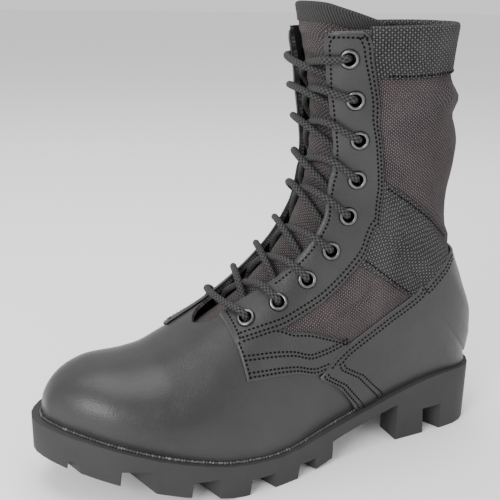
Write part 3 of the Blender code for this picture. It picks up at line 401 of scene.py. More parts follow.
class Skin:
    """The outer face of the upper on one side, by section and by share of the way round from the ridge."""

    def __init__(self, side):
        self.side = side
        self.points, self.girths = outlines(side)
        sections = np.linspace(0, TOP, self.points.shape[0])[:, None]
        shares = np.linspace(0, 1, self.points.shape[1])[None, :]
        self.points[:, :, 0] += curve(BACK_IN, 1, sections) * ease((shares - BACK_FROM) / BACK_FADE)
        along = np.gradient(self.points, axis=0)
        across = np.gradient(self.points, axis=1)
        normals = side * np.cross(across, along)
        normals[0] = (1, 0, 0)
        normals /= np.linalg.norm(normals, axis=2, keepdims=True)
        heel = ease((shares - HEEL_SIDE[0]) / HEEL_SIDE[1])
        heel = heel * ease((sections - HEEL_BOTTOM[0]) / HEEL_BOTTOM[1])
        heel = heel * ease((HEEL_TOP[0] - sections) / HEEL_TOP[1])
        away = self.points - (HEEL_MIDDLE, 0, 0)
        away[:, :, 2] = HEEL_LIFT * np.linalg.norm(away[:, :, :2], axis=2)
        away /= np.linalg.norm(away, axis=2, keepdims=True)
        normals = normals * (1 - heel[:, :, None]) + away * heel[:, :, None]
        for _ in range(2):
            wide = np.pad(normals, ((1, 1), (1, 1), (0, 0)), "edge")
            rows, columns = normals.shape[:2]
            shifts = [(i, j) for i in range(3) for j in range(3)]
            normals = sum(wide[i : i + rows, j : j + columns] for i, j in shifts)
            normals /= np.linalg.norm(normals, axis=2, keepdims=True)
        normals[:, 0, 1] = 0
        normals[int(CLOSED_BACK * (normals.shape[0] - 1) / TOP) :, -1, 1] = 0
        self.normals = normals
        self.points = self.points + STAND

    def spread(self, grid, section, share):
        """A value of the grid between its rows and columns."""
        row = np.clip(np.asarray(section, float) / TOP, 0, 1) * (grid.shape[0] - 1)
        column = np.clip(np.asarray(share, float), 0, 1) * (grid.shape[1] - 1)
        i = np.minimum(row.astype(int), grid.shape[0] - 2)
        j = np.minimum(column.astype(int), grid.shape[1] - 2)
        a, b = (row - i)[..., None], (column - j)[..., None]
        low = grid[i, j] * (1 - b) + grid[i, j + 1] * b
        high = grid[i + 1, j] * (1 - b) + grid[i + 1, j + 1] * b
        return low * (1 - a) + high * a

    def normal(self, section, share):
        """The outward direction of the face."""
        normal = self.spread(self.normals, section, share)
        return normal / np.linalg.norm(normal, axis=-1, keepdims=True)

    def at(self, section, share, lift=0.0):
        """Points on the face, lifted off it."""
        lift = np.asarray(lift)[..., None]
        return self.spread(self.points, section, share) + self.normal(section, share) * lift

    def girth(self, section):
        """The way round from the ridge to the sole or to the middle of the back."""
        return np.interp(section, np.linspace(0, TOP, len(self.girths)), self.girths)

    def throat(self, section):
        """The share of the way round where the lacing gap ends."""
        return curve(THROAT_EDGES, COLUMN[self.side], section)

    def stay_rear(self, section):
        """The share of the way round where the eyestay ends."""
        return curve(STAY_REARS, COLUMN[self.side], section)


SKINS = {side: Skin(side) for side in SIDES}
print("way round the ankle, one side:", round(float(SKINS[OUTER].girth(17)), 4))

# %% [markdown]
# ## Laying out a piece
# A grid is added, and each of its corners is moved to its place on the last. The grid keeps its rows and
# columns, so its map for the weave and the grain comes for free: it holds the real lengths along the cloth.
# Where a cut edge of leather or webbing shows, the outermost rows sink a little, which rolls the edge.

# %% From a grid to a piece
MELT = 0.00005  # corners nearer than this are one
WEB_ROLL = np.array([0.0, 0.00045, 0.0011])  # how far in from a cut edge the rolled rows are
WEB_LOSS = np.array([0.7, 0.22, 0.0])  # part of the thickness that each of them has lost


def only(thing):
    """Select one object alone and make it active."""
    bpy.ops.object.select_all(action="DESELECT")
    thing.select_set(True)
    bpy.context.view_layer.objects.active = thing


def lay_out(name, points, outward, rim=None, lengths=None, patch=None):
    """A grid of the size of a table of points, moved onto them, its faces turned the given way. A patch says
    which points are leather, the rest being cloth."""
    rows, columns = points.shape[:2]
    bpy.ops.object.select_all(action="DESELECT")
    bpy.ops.mesh.primitive_grid_add(x_subdivisions=columns - 1, y_subdivisions=rows - 1, size=1)
    piece = bpy.context.object
    piece.name = piece.data.name = name
    mesh = piece.data
    flat = np.empty(len(mesh.vertices) * 3)
    mesh.vertices.foreach_get("co", flat)
    flat = flat.reshape(-1, 3)
    column = np.rint((flat[:, 0] + 0.5) * (columns - 1)).astype(int)
    row = np.rint((flat[:, 1] + 0.5) * (rows - 1)).astype(int)
    mesh.vertices.foreach_set("co", points[row, column].ravel())
    if lengths is None:
        across = np.zeros((rows, columns))
        across[:, 1:] = np.cumsum(np.linalg.norm(np.diff(points, axis=1), axis=2), axis=1)
        along = np.zeros((rows, columns))
        along[1:] = np.cumsum(np.linalg.norm(np.diff(points, axis=0), axis=2), axis=0)
    else:
        across, along = lengths
    corner = np.empty(len(mesh.loops), int)
    mesh.loops.foreach_get("vertex_index", corner)
    spots = np.stack([across[row, column], along[row, column]], axis=1)[corner]
    mesh.uv_layers[0].name = "UVMap"
    mesh.uv_layers[0].data.foreach_set("uv", spots.ravel())
    if rim is not None:
        rims = mesh.attributes.new("rim", "FLOAT", "POINT")
        rims.data.foreach_set("value", rim[row, column].astype(np.float32))
    if patch is not None:
        inside = patch[row, column]
        kinds = [int(not all(inside[k] for k in polygon.vertices)) for polygon in mesh.polygons]
        for finish in (vamp_leather, shaft_cloth, lining_cloth):
            mesh.materials.append(finish)
        mesh.polygons.foreach_set("material_index", kinds)
    mesh.update()
    faces = np.empty(len(mesh.polygons) * 3)
    mesh.polygons.foreach_get("normal", faces)
    middles = np.empty(len(mesh.polygons) * 3)
    mesh.polygons.foreach_get("center", middles)
    starts = np.array([polygon.vertices[0] for polygon in mesh.polygons])
    wanted = outward[row, column][starts]
    if (faces.reshape(-1, 3) * wanted).sum() < 0:
        mesh.flip_normals()
    return piece


def joined(name, pieces):
    """Several pieces as one, their shared corners melted together."""
    bpy.ops.object.select_all(action="DESELECT")
    for piece in pieces:
        piece.select_set(True)
    bpy.context.view_layer.objects.active = pieces[0]
    if len(pieces) > 1:
        bpy.ops.object.join()
    whole = bpy.context.object
    bpy.ops.object.mode_set(mode="EDIT")
    bpy.ops.mesh.select_all(action="SELECT")
    bpy.ops.mesh.remove_doubles(threshold=MELT)
    bpy.ops.object.mode_set(mode="OBJECT")
    whole.name = whole.data.name = name
    return whole


def worked(piece, kind, **settings):
    """Add one modifier and apply it."""
    only(piece)
    modifier = piece.modifiers.new(kind.lower(), kind)
    for name, value in settings.items():
        setattr(modifier, name, value)
    bpy.ops.object.modifier_apply(modifier=modifier.name)


def sewn(piece, finish, slot, *nodes, angle=50):
    """Give a finished piece its shading, finish and body, and hide the solids that it stands for. The slot is
    not used.
    """
    only(piece)
    bpy.ops.object.shade_smooth_by_angle(angle=math.radians(angle))
    piece.data.materials.clear()
    piece.data.materials.append(finish)
    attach(piece, "root")
    if nodes:
        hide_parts(*nodes)
    print(f"{piece.name}: {len(piece.data.polygons)} faces")


def crowded(length, count, near, far):
    """Shares of a length, crowded at its rolled ends, and what each has lost of the thickness."""
    length = np.maximum(np.asarray(length, float), 1e-5)[:, None]
    shrink = np.minimum(1, 0.4 * length / WEB_ROLL[-1])
    first = WEB_ROLL * shrink / length
    low = first[:, -1:] if near else np.zeros_like(length)
    high = 1 - first[:, -1:] if far else np.ones_like(length)
    parts = [low + (high - low) * np.linspace(0, 1, count)]
    loss = [np.zeros(count)]
    if near:
        parts.insert(0, first[:, :-1])
        loss.insert(0, WEB_LOSS[:-1])
    if far:
        parts.append(1 - first[:, -2::-1])
        loss.append(WEB_LOSS[-2::-1])
    return np.concatenate(parts, axis=1), np.concatenate(loss)


def spots_on(side, section, share, lift):
    """Points at a height over the last, and the directions square to it."""
    skin = SKINS[side]
    return skin.at(section, share, lift + 0 * section), skin.normal(section, share)


class Cut:
    """A cut piece on one side of the boot. Its place turns two shares, across and along it, into a section,
    a share of the way round and an extra lift."""

    def __init__(self, side, place, top, thick, rolled=(True, True, True, True)):
        self.side, self.place, self.top, self.thick, self.rolled = side, place, top, thick, rolled
        self.trial = np.linspace(0, 1, 25)
        across, along = np.meshgrid(self.trial, self.trial)
        points = self.spots(across, along)[0]
        self.wide = np.linalg.norm(np.diff(points, axis=1), axis=2).sum(axis=1)
        self.long = np.linalg.norm(np.diff(points, axis=0), axis=2).sum(axis=0)

    def spots(self, across, along, lift=0.0):
        """Points of the piece's top face, and the directions square to it."""
        section, share, extra = self.place(across, along)
        return spots_on(self.side, section, share, self.top + extra + lift)

    def made(self, name, step):
        """The piece's top face, its cut edges sunk by part of its thickness, with a corner about every step.
        """
        wide, long = float(self.wide.max()), float(self.long.max())
        columns, rows = max(4, int(wide / step)), max(4, int(long / step))
        near, far, low, high = self.rolled
        along, loss_along = crowded([float(self.long.mean())], rows, low, high)
        across, _ = crowded([float(self.wide.mean())], columns, near, far)
        wides = np.interp(along[0], self.trial, self.wide)
        longs = np.interp(across[0], self.trial, self.long)
        across, loss_across = crowded(wides, columns, near, far)
        along = crowded(longs, rows, low, high)[0].T
        loss = 1 - (1 - loss_along[:, None]) * (1 - loss_across[None, :])
        points, outward = self.spots(across, along, -loss * self.thick)
        return lay_out(name, points, outward, rim=loss)

    def row(self, edge, inset, start, end):
        """A line at a distance inside one edge, as points and the directions square to the piece there."""
        way = np.linspace(start, end, 160)
        if edge in ("front", "rear"):
            share = inset / np.maximum(np.interp(way, self.trial, self.wide), 1e-4)
            across = share if edge == "front" else 1 - share
            return self.spots(across, way)
        share = inset / np.maximum(np.interp(way, self.trial, self.long), 1e-4)
        along = share if edge == "low" else 1 - share
        return self.spots(way, along)

# %% [markdown]
# ## Finishes
# Each finish is a small network of nodes. A wrapped socket lets shader maths read like ordinary maths.
# Weaves follow the piece's own map, in metres along the cloth. Grain, mottle and flecks follow the object's
# space.

# %% Sockets as numbers


class Wire:
    """A socket of numbers that can be added, multiplied and shaped like a number."""

    def __init__(self, finish, socket):
        self.finish, self.socket = finish, socket

    def maths(self, operation, *others):
        values = [self] + list(others)
        return self.finish.node("ShaderNodeMath", {"operation": operation}, dict(enumerate(values))).out()

    def __add__(self, other):
        return self.maths("ADD", other)

    __radd__ = __add__

    def __mul__(self, other):
        return self.maths("MULTIPLY", other)

    __rmul__ = __mul__

    def __sub__(self, other):
        return self.maths("SUBTRACT", other)

    def __rsub__(self, other):
        return self * -1 + other

    def __truediv__(self, other):
        return self.maths("DIVIDE", other)

    def __pow__(self, other):
        return self.maths("POWER", other)

    def wave(self):
        """0 to 1 and back for each whole number."""
        return (self * math.pi).maths("SINE").maths("ABSOLUTE")

    def least(self, other):
        return self.maths("MINIMUM", other)

    def most(self, other):
        return self.maths("MAXIMUM", other)

    def held(self):
        """Kept between 0 and 1."""
        return self.most(0).least(1)


class Made:
    """A node, with its outputs by name."""

    def __init__(self, finish, node):
        self.finish, self.node = finish, node

    def out(self, name=0):
        return Wire(self.finish, self.node.outputs[name])


class Finish:
    """A material on a principled shader, built up from nodes."""

    def __init__(self, name, rough, metal=0.0, **uniform):
        self.material = bpy.data.materials.new(name)
        self.material.use_nodes = True
        self.tree = self.material.node_tree
        self.shader = self.tree.nodes["Principled BSDF"]
        self.set(Roughness=rough, Metallic=metal, **uniform)

    def set(self, **values):
        """Give sockets of the shader a number or a wire; underscores stand for spaces."""
        for name, value in values.items():
            self.give(self.shader.inputs[name.replace("_", " ")], value)

    def give(self, socket, value):
        if isinstance(value, Wire):
            self.tree.links.new(value.socket, socket)
        elif isinstance(value, (tuple, list)) and len(value) == 3 and socket.type == "RGBA":
            socket.default_value = (*value, 1)
        else:
            socket.default_value = value

    def node(self, kind, settings=None, sockets=None):
        """Add a node: first its settings, then the values or wires of its sockets."""
        made = self.tree.nodes.new(kind)
        for name, value in (settings or {}).items():
            setattr(made, name, value)
        for name, value in (sockets or {}).items():
            self.give(made.inputs[name], value)
        return Made(self, made)

    def object_space(self):
        """Places in metres, the same on every piece."""
        return self.node("ShaderNodeTexCoord").out("Object")

    def map(self):
        """The two lengths along the piece, in metres."""
        coordinates = self.node("ShaderNodeUVMap", {"uv_map": "UVMap"}).out()
        apart = self.node("ShaderNodeSeparateXYZ", {}, {"Vector": coordinates})
        return apart.out("X"), apart.out("Y")

    def rim(self):
        """How near a cut edge is: 0 on the flat, up to 0.7 at the edge."""
        return self.node("ShaderNodeAttribute", {"attribute_name": "rim"}).out("Fac")

    def noise(self, scale, detail=2.0, rough=0.5):
        """Soft random patches, so many to the metre."""
        sockets = {"Vector": self.object_space(), "Scale": scale, "Detail": detail, "Roughness": rough}
        return self.node("ShaderNodeTexNoise", {}, sockets).out("Fac")

    def cells(self, scale):
        """Distance from the middles of random cells, so many to the metre."""
        sockets = {"Vector": self.object_space(), "Scale": scale}
        return self.node("ShaderNodeTexVoronoi", {"feature": "F1"}, sockets).out("Distance")

    def blend(self, part, low, high):
        """One colour, passing into another as the part goes from 0 to 1."""
        mixed = self.node("ShaderNodeMix", {"data_type": "RGBA"}, {0: part, 6: low, 7: high})
        return mixed.out(2)

    def relief(self, height, depth):
        """Raise the surface by a height from 0 to 1, times a depth in metres."""
        bump = self.node("ShaderNodeBump", {}, {"Height": height, "Distance": depth, "Strength": 1.0})
        self.set(Normal=bump.out("Normal"))


def toned(tone, factor):
    """A colour made darker or paler."""
    return tuple(value * factor for value in tone)


print("finish helpers ready")

# %% [markdown]
# ## Leather
# The vamp, facings and counter are smooth black leather that has been buffed, so it looks dark grey, with a
# satin gloss, a fine pebble and cloudy patches, partly its own mottle and partly painted highlight. Cut edges
# are raw and dull, and painted paler: partly the raw edge, partly a painted highlight along it.

# %% Leather


def leather_finish(name, tone, rough, pebble):
    """Buffed leather of one tone."""
    made = Finish(name, rough, Specular_IOR_Level=0.30)
    cloud = made.noise(16, 3)
    fine = made.noise(420, 4, 0.6)
    scuff = ((made.noise(60, 5, 0.65) - 0.60) * 6).held()
    # Cloudy patches, paler and darker: partly the leather's own mottle, partly painted highlight.
    patches = ((cloud - 0.32) * 2.4 + (fine - 0.5) * 0.35).held()
    colour = made.blend(patches, toned(tone, 0.80), toned(tone, 1.28))
    colour = made.blend(scuff * 0.22, colour, toned(tone, 2.0))
    # Paler toward the rolled cut edges: partly the raw edge, partly a painted highlight along it.
    edge = (made.rim() * 1.9).held()
    colour = made.blend(edge * 0.75, colour, toned(tone, 2.3))
    dull = (cloud - 0.5) * 0.18 + fine * 0.10 + edge * 0.25 + scuff * 0.08
    made.set(Base_Color=colour, Roughness=dull + (rough - 0.05))
    made.set(Coat_Weight=0.06, Coat_Roughness=0.25)
    grain = made.cells(1150) * 0.75 + made.noise(2100, 2) * 0.35 + made.noise(130, 3) * 1.5
    made.relief(grain, pebble)
    return made.material


vamp_leather = leather_finish("vamp_leather", (0.024, 0.024, 0.025), 0.38, 0.00014)
facing_leather = leather_finish("facing_leather", (0.026, 0.026, 0.027), 0.40, 0.00016)
print("leathers:", vamp_leather.name, facing_leather.name)

# %% [markdown]
# ## Nylon cloth and webbing
# The shaft is a plain weave of heavy nylon, charcoal with a reddish cast. The strap and the collar are a
# coarser webbing. A plain weave is a checkerboard: in one cell the warp thread lies on top, in the next
# the weft. Each thread is round, so its height follows a half wave across it.

# %% Cloth


def cloth_finish(name, tone, across, along, depth, cast):
    """A plain weave with threads of the two widths, painted darker in the hollows between its threads as
    painted shade.
    """
    made = Finish(name, 0.85, Specular_IOR_Level=0.12, Sheen_Weight=0.03, Sheen_Roughness=0.45)
    u, v = made.map()
    wander = (made.noise(55, 2) - 0.5) * 0.6
    warp, weft = u / across + wander, v / along + wander
    check = (warp.maths("FLOOR") + weft.maths("FLOOR")).maths("FLOORED_MODULO", 2)
    on_warp = warp.wave() * (weft.wave() * 0.45 + 0.55)
    on_weft = weft.wave() * (warp.wave() * 0.45 + 0.55)
    height = on_warp * check + on_weft * (1 - check) * 0.92
    mottle = made.noise(38, 4, 0.6)
    strand = made.noise(900, 2)
    # The colour follows the thread height: thread tops painted paler and the hollows between them darker, as
    # painted shade; cells where the weft lies on top are darker still.
    shade = (height ** 1.3 * (check * 0.55 + 0.45) + (strand - 0.5) * 0.4 + (mottle - 0.5) * 0.5).held()
    colour = made.blend(shade, toned(tone, 0.12), toned(tone, 2.1))
    colour = made.blend((made.noise(24, 3) - 0.42).held() * cast, colour, (0.070, 0.046, 0.048))
    made.set(Base_Color=colour, Roughness=0.92 - height * 0.16)
    made.relief(height + (strand - 0.5) * 0.3, depth)
    return made.material


shaft_cloth = cloth_finish("shaft_cloth", (0.066, 0.056, 0.058), 0.0013, 0.0010, 0.00040, 0.7)
lining_cloth = cloth_finish("lining_cloth", (0.022, 0.021, 0.022), 0.0013, 0.0012, 0.00020, 0.0)
tongue_cloth = cloth_finish("tongue_cloth", (0.066, 0.057, 0.058), 0.0013, 0.0010, 0.00040, 0.6)
strap_web = cloth_finish("strap_web", (0.056, 0.054, 0.055), 0.0019, 0.0014, 0.00070, 0.1)
print("cloths:", shaft_cloth.name, strap_web.name)

# %% [markdown]
# ## Rubber, thread, lace, steel and felt
# The sole is moulded rubber, even and rather dull. Thread is waxed
# and darker than what it holds. The lace is a round braid: two sets of strands cross as they wind round it.
# The eyelets are steel, blackened, with the black worn off their rims; this paler rim is partly a painted
# highlight.

# %% The other finishes


def rubber_finish():
    """Moulded rubber, even and rather dull."""
    made = Finish("sole_rubber", 0.62, Specular_IOR_Level=0.2)
    cloud = made.noise(28, 4, 0.6)
    fine = made.noise(700, 3)
    shade = (cloud * 0.8 + fine * 0.3 - 0.1).held()
    colour = made.blend(shade, (0.020, 0.020, 0.021), (0.046, 0.046, 0.047))
    made.set(Base_Color=colour, Roughness=0.50 + fine * 0.16 + cloud * 0.1)
    made.relief(fine * 0.6 + made.noise(90, 4) * 1.2, 0.00016)
    return made.material


def welt_finish():
    """A knurled line, painted pale in patches on the crests of its ribs as painted highlight."""
    made = Finish("welt_rubber", 0.5, Specular_IOR_Level=0.5)
    v = made.map()[1]
    speck = (made.noise(420, 2) - 0.52).held() * 6
    knurl = (v / 0.0019).wave()
    # Pale in patches where the ribs crest: painted highlight.
    colour = made.blend((speck * knurl).held() * 0.5, (0.030, 0.030, 0.031), (0.30, 0.30, 0.30))
    made.set(Base_Color=colour)
    made.relief(knurl, 0.0004)
    return made.material


def thread_finish():
    """Black waxed thread."""
    made = Finish("waxed_thread", 0.7, Specular_IOR_Level=0.05)
    made.set(Base_Color=made.blend(made.noise(900), (0.002, 0.002, 0.002), (0.006, 0.006, 0.006)))
    return made.material


def lace_finish():
    """A braid: two sets of strands that cross, painted dark in the grooves between them as painted shade,
    with pale flecks painted as glints.
    """
    made = Finish("braided_lace", 0.8, Specular_IOR_Level=0.10, Sheen_Weight=0.02)
    around, along = made.map()
    turns, pitch = 5.0 / (math.tau * LACE_RADIUS), 1 / 0.0028
    left = (around * turns + along * pitch).wave()
    right = (around * turns - along * pitch).wave()
    height = left.most(right) * 0.6 + left * right * 0.4
    # Pale flecks: painted glints off shiny strands.
    fleck = (made.noise(1300, 1) - 0.60).held() * 5
    # Near black in the grooves between the strands and paler on their tops: painted shade.
    colour = made.blend(height.held() ** 1.6, (0.004, 0.004, 0.004), (0.058, 0.058, 0.059))
    colour = made.blend(fleck.held() * 0.45, colour, (0.11, 0.11, 0.11))
    made.set(Base_Color=colour)
    made.relief(height, 0.0006)
    return made.material


def steel_finish():
    """Blackened steel, paler on the top of its rim: partly bare where it is rubbed, partly a painted
    highlight.
    """
    made = Finish("blackened_steel", 0.28, 1.0)
    # Paler on the top of the rim: bare rubbed steel, and partly a painted highlight along the rim.
    wear_and_highlight = (made.rim() ** 3 * 0.9 + (made.noise(500, 3) - 0.6) * 0.8).held()
    made.set(Base_Color=made.blend(wear_and_highlight, (0.028, 0.028, 0.030), (0.22, 0.22, 0.22)))
    made.set(Roughness=0.38 - wear_and_highlight * 0.16)
    return made.material


def felt_finish():
    """Fluffy dark felt."""
    made = Finish("insole_felt", 0.95)
    fluff = made.noise(1500, 4, 0.7)
    made.set(Base_Color=made.blend(fluff, (0.030, 0.028, 0.026), (0.085, 0.080, 0.076)))
    made.relief(fluff, 0.0004)
    return made.material


def binding_finish():
    """Tape with ribs across it, painted darker between the ribs as painted shade."""
    made = Finish("ribbed_binding", 0.8, Specular_IOR_Level=0.10, Sheen_Weight=0.02)
    across = made.map()[0]
    rib = (across / 0.0019).wave()
    fibre = made.noise(900, 2)
    # Paler on the ribs and darker between them: painted shade.
    shade = (rib * 0.8 + fibre * 0.3 - 0.1).held()
    made.set(Base_Color=made.blend(shade, (0.010, 0.010, 0.010), (0.050, 0.049, 0.049)))
    made.relief(rib + fibre * 0.3, 0.0005)
    return made.material


sole_rubber, welt_rubber, waxed_thread = rubber_finish(), welt_finish(), thread_finish()
braided_lace, blackened_steel, insole_felt = lace_finish(), steel_finish(), felt_finish()
ribbed_binding = binding_finish()
print("finishes:", len(bpy.data.materials))

# %% [markdown]
# ## The upper
# The vamp is leather, and behind it the quarters are nylon cloth that puffs out between the pieces sewn on
# it. One shell has both, and the line between them lies hidden under the leather band. Its creases are
# placed as soft ridges and troughs: each is a line on the last, a half width and a height.

# %% Creases of the cloth
OUTSIDE_CREASES = [
    ((12.3, 0.470), (16.0, 0.470), 0.0032, 0.0011),
    ((11.6, 0.455), (14.3, 0.530), 0.0028, 0.0009),
    ((13.4, 0.445), (15.2, 0.440), 0.0025, 0.0009),
    ((12.8, 0.530), (15.8, 0.575), 0.0030, 0.0009),
    ((12.1, 0.490), (14.8, 0.500), 0.0020, -0.0011),
    ((12.6, 0.450), (15.0, 0.455), 0.0018, -0.0008),
    ((27.50, 0.420), (27.50, 0.700), 0.0060, 0.0022),
    ((26.70, 0.430), (26.20, 0.640), 0.0050, -0.0010),
    ((23.8, 0.560), (23.5, 0.900), 0.0040, 0.0010),
]
BACK_CREASES = [
    ((27.50, 0.740), (27.50, 1.060), 0.0062, 0.0040),
    ((27.10, 0.640), (27.10, 1.060), 0.0045, -0.0012),
    ((26.50, 0.600), (26.50, 1.060), 0.0090, 0.0012),
]
INSIDE_CREASES = [
    ((12.0, 0.470), (15.6, 0.490), 0.0032, 0.0011),
    ((12.6, 0.520), (15.4, 0.560), 0.0028, 0.0009),
    ((12.3, 0.495), (15.0, 0.520), 0.0020, -0.0010),
    ((24.5, 0.520), (24.2, 0.960), 0.0080, 0.0006),
    ((26.0, 0.400), (25.6, 0.640), 0.0050, 0.0009),
]
CREASES = {OUTER: OUTSIDE_CREASES + BACK_CREASES, INNER: INSIDE_CREASES + BACK_CREASES}
PUFF = 0.0007  # how far the cloth stands out between its seams
SEAM_FADE = 0.007  # over what length the cloth rises beside a leather edge
WEB_FADE = 0.006  # and beside webbing
TUCK = 0.3  # part of a fade that still lies flat under the edge
BAND_END = BAND_EDGES[-1][0]  # section at which the band has run under the counter
CLOTH_FROM = 9.9  # section before which there is no cloth
RISE_FRONT, RISE_MORE = 0.0085, 0.021  # height of one section in front, and what the back has more


def table_at(table, value, key=1, result=0):
    """A value of a table by another of its columns."""
    rows = sorted(table, key=lambda row: row[key])
    return np.interp(value, [row[key] for row in rows], [row[result] for row in rows])


def section_rise(share):
    """About the height of one section: small in front, large behind."""
    return RISE_FRONT + RISE_MORE * share


def cloth_share(skin, section, share):
    """1 where the cloth is free, 0 under the pieces that are sewn on it, soft in between."""
    girth = np.maximum(skin.girth(section), 0.01)
    rise = section_rise(share)
    free = ease((share - skin.stay_rear(section)) * girth / SEAM_FADE - TUCK)
    over_counter = np.where(section < COUNTER_TOP[-1][0], curve(COUNTER_TOP, 1, section) - share, 1.0)
    free = free * ease(over_counter * girth / SEAM_FADE - TUCK)
    band_top = curve(BAND_EDGES, 1, section)
    over_band = np.where(section < BAND_END, band_top - share, 1.0)
    in_band = (section < BAND_END + 0.15) & (share > band_top - 0.02)
    free = np.where(in_band, 0.0, free) * ease(over_band * girth / SEAM_FADE + (section > BAND_END) * 1.0)
    under_strap = ease((table_at(STRAP_LOW, share) - section) * rise / WEB_FADE)
    over_strap = ease((section - table_at(STRAP_TOP, share)) * rise / WEB_FADE)
    free = free * np.maximum(under_strap, over_strap)
    under_collar = ease((table_at(COLLAR_LOW, share) - section) * rise / WEB_FADE)
    return free * under_collar * (section > CLOTH_FROM)


def cloth_lift(skin, section, share):
    """How far the cloth stands off the last, with its creases."""
    girth, rise = skin.girth(section), section_rise(share)
    lift = np.full(section.shape, PUFF)
    for start, end, half, height in CREASES[skin.side]:
        across, up = (share - start[1]) * girth, (section - start[0]) * rise
        way_across, way_up = (end[1] - start[1]) * girth, (end[0] - start[0]) * rise
        part = (across * way_across + up * way_up) / (way_across**2 + way_up**2)
        part = np.clip(part, 0, 1)
        away = np.hypot(across - part * way_across, up - part * way_up)
        lift = lift + height * np.exp(-((away / half) ** 2))
    return lift * cloth_share(skin, section, share)


print("creases:", sum(len(rows) for rows in CREASES.values()))

# %% The shell of the upper
ROWS = [np.arange(0, 2, 0.1), np.arange(2, THROAT, 0.2), np.arange(THROAT, COLLAR, 0.125), [COLLAR]]
ROWS = np.concatenate(ROWS)
SHELL_COLUMNS = 60
HOLE = 0.0041  # radius of the holes punched for the eyelets
BACK_MIDDLE = 0.056  # middle of the round back of the shaft, and the round's radius
BACK_ROUND = 0.042
VAMP_END = 10.05  # section at which the leather of the vamp ends above the bands


def punched(piece, side, face):
    """Take out of a face the holes for the eyelets of one side."""
    only(piece)
    skin = SKINS[side]
    middles = [skin.at(row[0], row[COLUMN[side]], face) for row in EYELETS]
    bpy.ops.object.mode_set(mode="EDIT")
    bpy.ops.mesh.select_mode(type="FACE")
    bpy.ops.mesh.select_all(action="DESELECT")
    bpy.ops.object.mode_set(mode="OBJECT")
    for polygon in piece.data.polygons:
        centre = np.array(polygon.center)
        polygon.select = any(np.linalg.norm(centre - middle) < HOLE for middle in middles)
    bpy.ops.object.mode_set(mode="EDIT")
    bpy.ops.mesh.delete(type="FACE")
    bpy.ops.object.mode_set(mode="OBJECT")
    return piece


def shell_half(side):
    """One side of the upper's outer face."""
    skin = SKINS[side]
    section = np.repeat(ROWS[:, None], SHELL_COLUMNS + 1, axis=1)
    start = np.where(ROWS < THROAT, 0.0, skin.throat(ROWS))[:, None]
    share = start + (1 - start) * np.linspace(0, 1, SHELL_COLUMNS + 1)
    points = skin.at(section, share, cloth_lift(skin, section, share))
    foot = skin.at(section[:, -1], share[:, -1])
    points[:, -1, 2] = np.where(ROWS < CLOSED_BACK, foot[:, 2], points[:, -1, 2])
    band = (curve(BAND_EDGES, 1, section) + curve(BAND_EDGES, 2, section)) / 2
    leather = (section < VAMP_END) | ((section < BAND_END - 0.05) & (share > band))
    forward, aside, up = np.moveaxis(skin.at(section, share) - STAND, -1, 0)
    round_back = -BACK_ROUND * np.arctan2(BACK_MIDDLE - forward, np.abs(aside) + 0.001)
    thread = np.where(forward > BACK_MIDDLE, forward - BACK_MIDDLE, round_back)
    outward = skin.normal(section, share)
    piece = lay_out("shell_half", points, outward, lengths=(thread, up), patch=leather)
    return punched(piece, side, 0.0)


shell = joined("upper_shell", [shell_half(side) for side in SIDES])
slots = {"material_offset": 2, "material_offset_rim": 1}
worked(shell, "SOLIDIFY", thickness=WALL, offset=-1, use_even_offset=False, **slots)
only(shell)
bpy.ops.object.shade_smooth_by_angle(angle=math.radians(50))
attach(shell, "root")
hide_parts("upper")
print(shell.name, len(shell.data.polygons))

# %% [markdown]
# ## Facings, bands and counter
# The leather facings carry the eyelets, and their feet run on over the vamp. The bands and the counter are
# skived leather, so their edges roll down to the vamp. Each is a cut piece with its own outline in the two
# numbers of the last, one thickness and rolled edges.

# %% Leather pieces
LAID = 0.0005  # gap between the last and what lies on it
FACE = LAID + STAY_THICK  # top of the facings over the last
COUNTER_FACE = 0.0004 + COUNTER_THICK
STRIP_FACE = 0.0024  # top of the back strip, which lies over the counter's edge
BAND_FREE = 11.6  # section from which the band's top edge no longer runs under the facing


def stay_place(side):
    """The outline of one facing."""
    skin = SKINS[side]
    low, high = STAY_FOOT[side], STAY_ROUND[-1][0]

    def place(across, along):
        section = low + (high - low) * along
        first = skin.throat(section)
        if side == INNER:
            lean = FLAP_EDGE + FLAP_LEAN * (STAY_LEAVES - section)
            first = np.where(section < STAY_LEAVES, lean, first)
        last = skin.stay_rear(section)
        pull = curve(STAY_ROUND, 1, section) * (last - first)
        return section, first + pull + (last - first - 2 * pull) * across, 0.0

    return place


def band_place(side):
    """The outline of one band between the facing's foot and the counter."""

    def place(across, along):
        front = STAY_FOOT[OUTER] + 0.02
        section = front + (BAND_END - front) * along
        first, last = curve(BAND_EDGES, 1, section), curve(BAND_EDGES, 2, section)
        tucked = np.minimum(first, SKINS[side].stay_rear(section) - 0.02)
        first = first + (tucked - first) * ease((BAND_FREE - section) / 0.7)
        over = curve(COUNTER_TOP, 1, section) + 0.01
        last = np.where(section > COUNTER_TOP[0][0], np.minimum(last, over), last)
        return section, first + np.maximum(last - first, 0.004) * across, 0.0

    return place


def counter_place(across, along):
    """The outline of one half of the counter, from its top edge to the sole or the middle of the back."""
    section = COUNTER_TOP[0][0] + (COUNTER_TOP[-1][0] - COUNTER_TOP[0][0]) * along
    first, last = curve(COUNTER_TOP, 1, section), curve(COUNTER_FRONT, 1, section)
    last = np.maximum(last, first + 0.0005)
    return section, first + (last - first) * across, 0.0


def backstay_place(side):
    """The outline of one half of the strip up the middle of the back."""
    skin = SKINS[side]

    def place(across, along):
        section = BACKSTAY[0] - 0.35 + (BACKSTAY[1] - BACKSTAY[0] + 0.35) * along
        first = 1 - BACKSTAY_HALF / skin.girth(section)
        return section, first + (1 - first) * across, 0.0

    return place


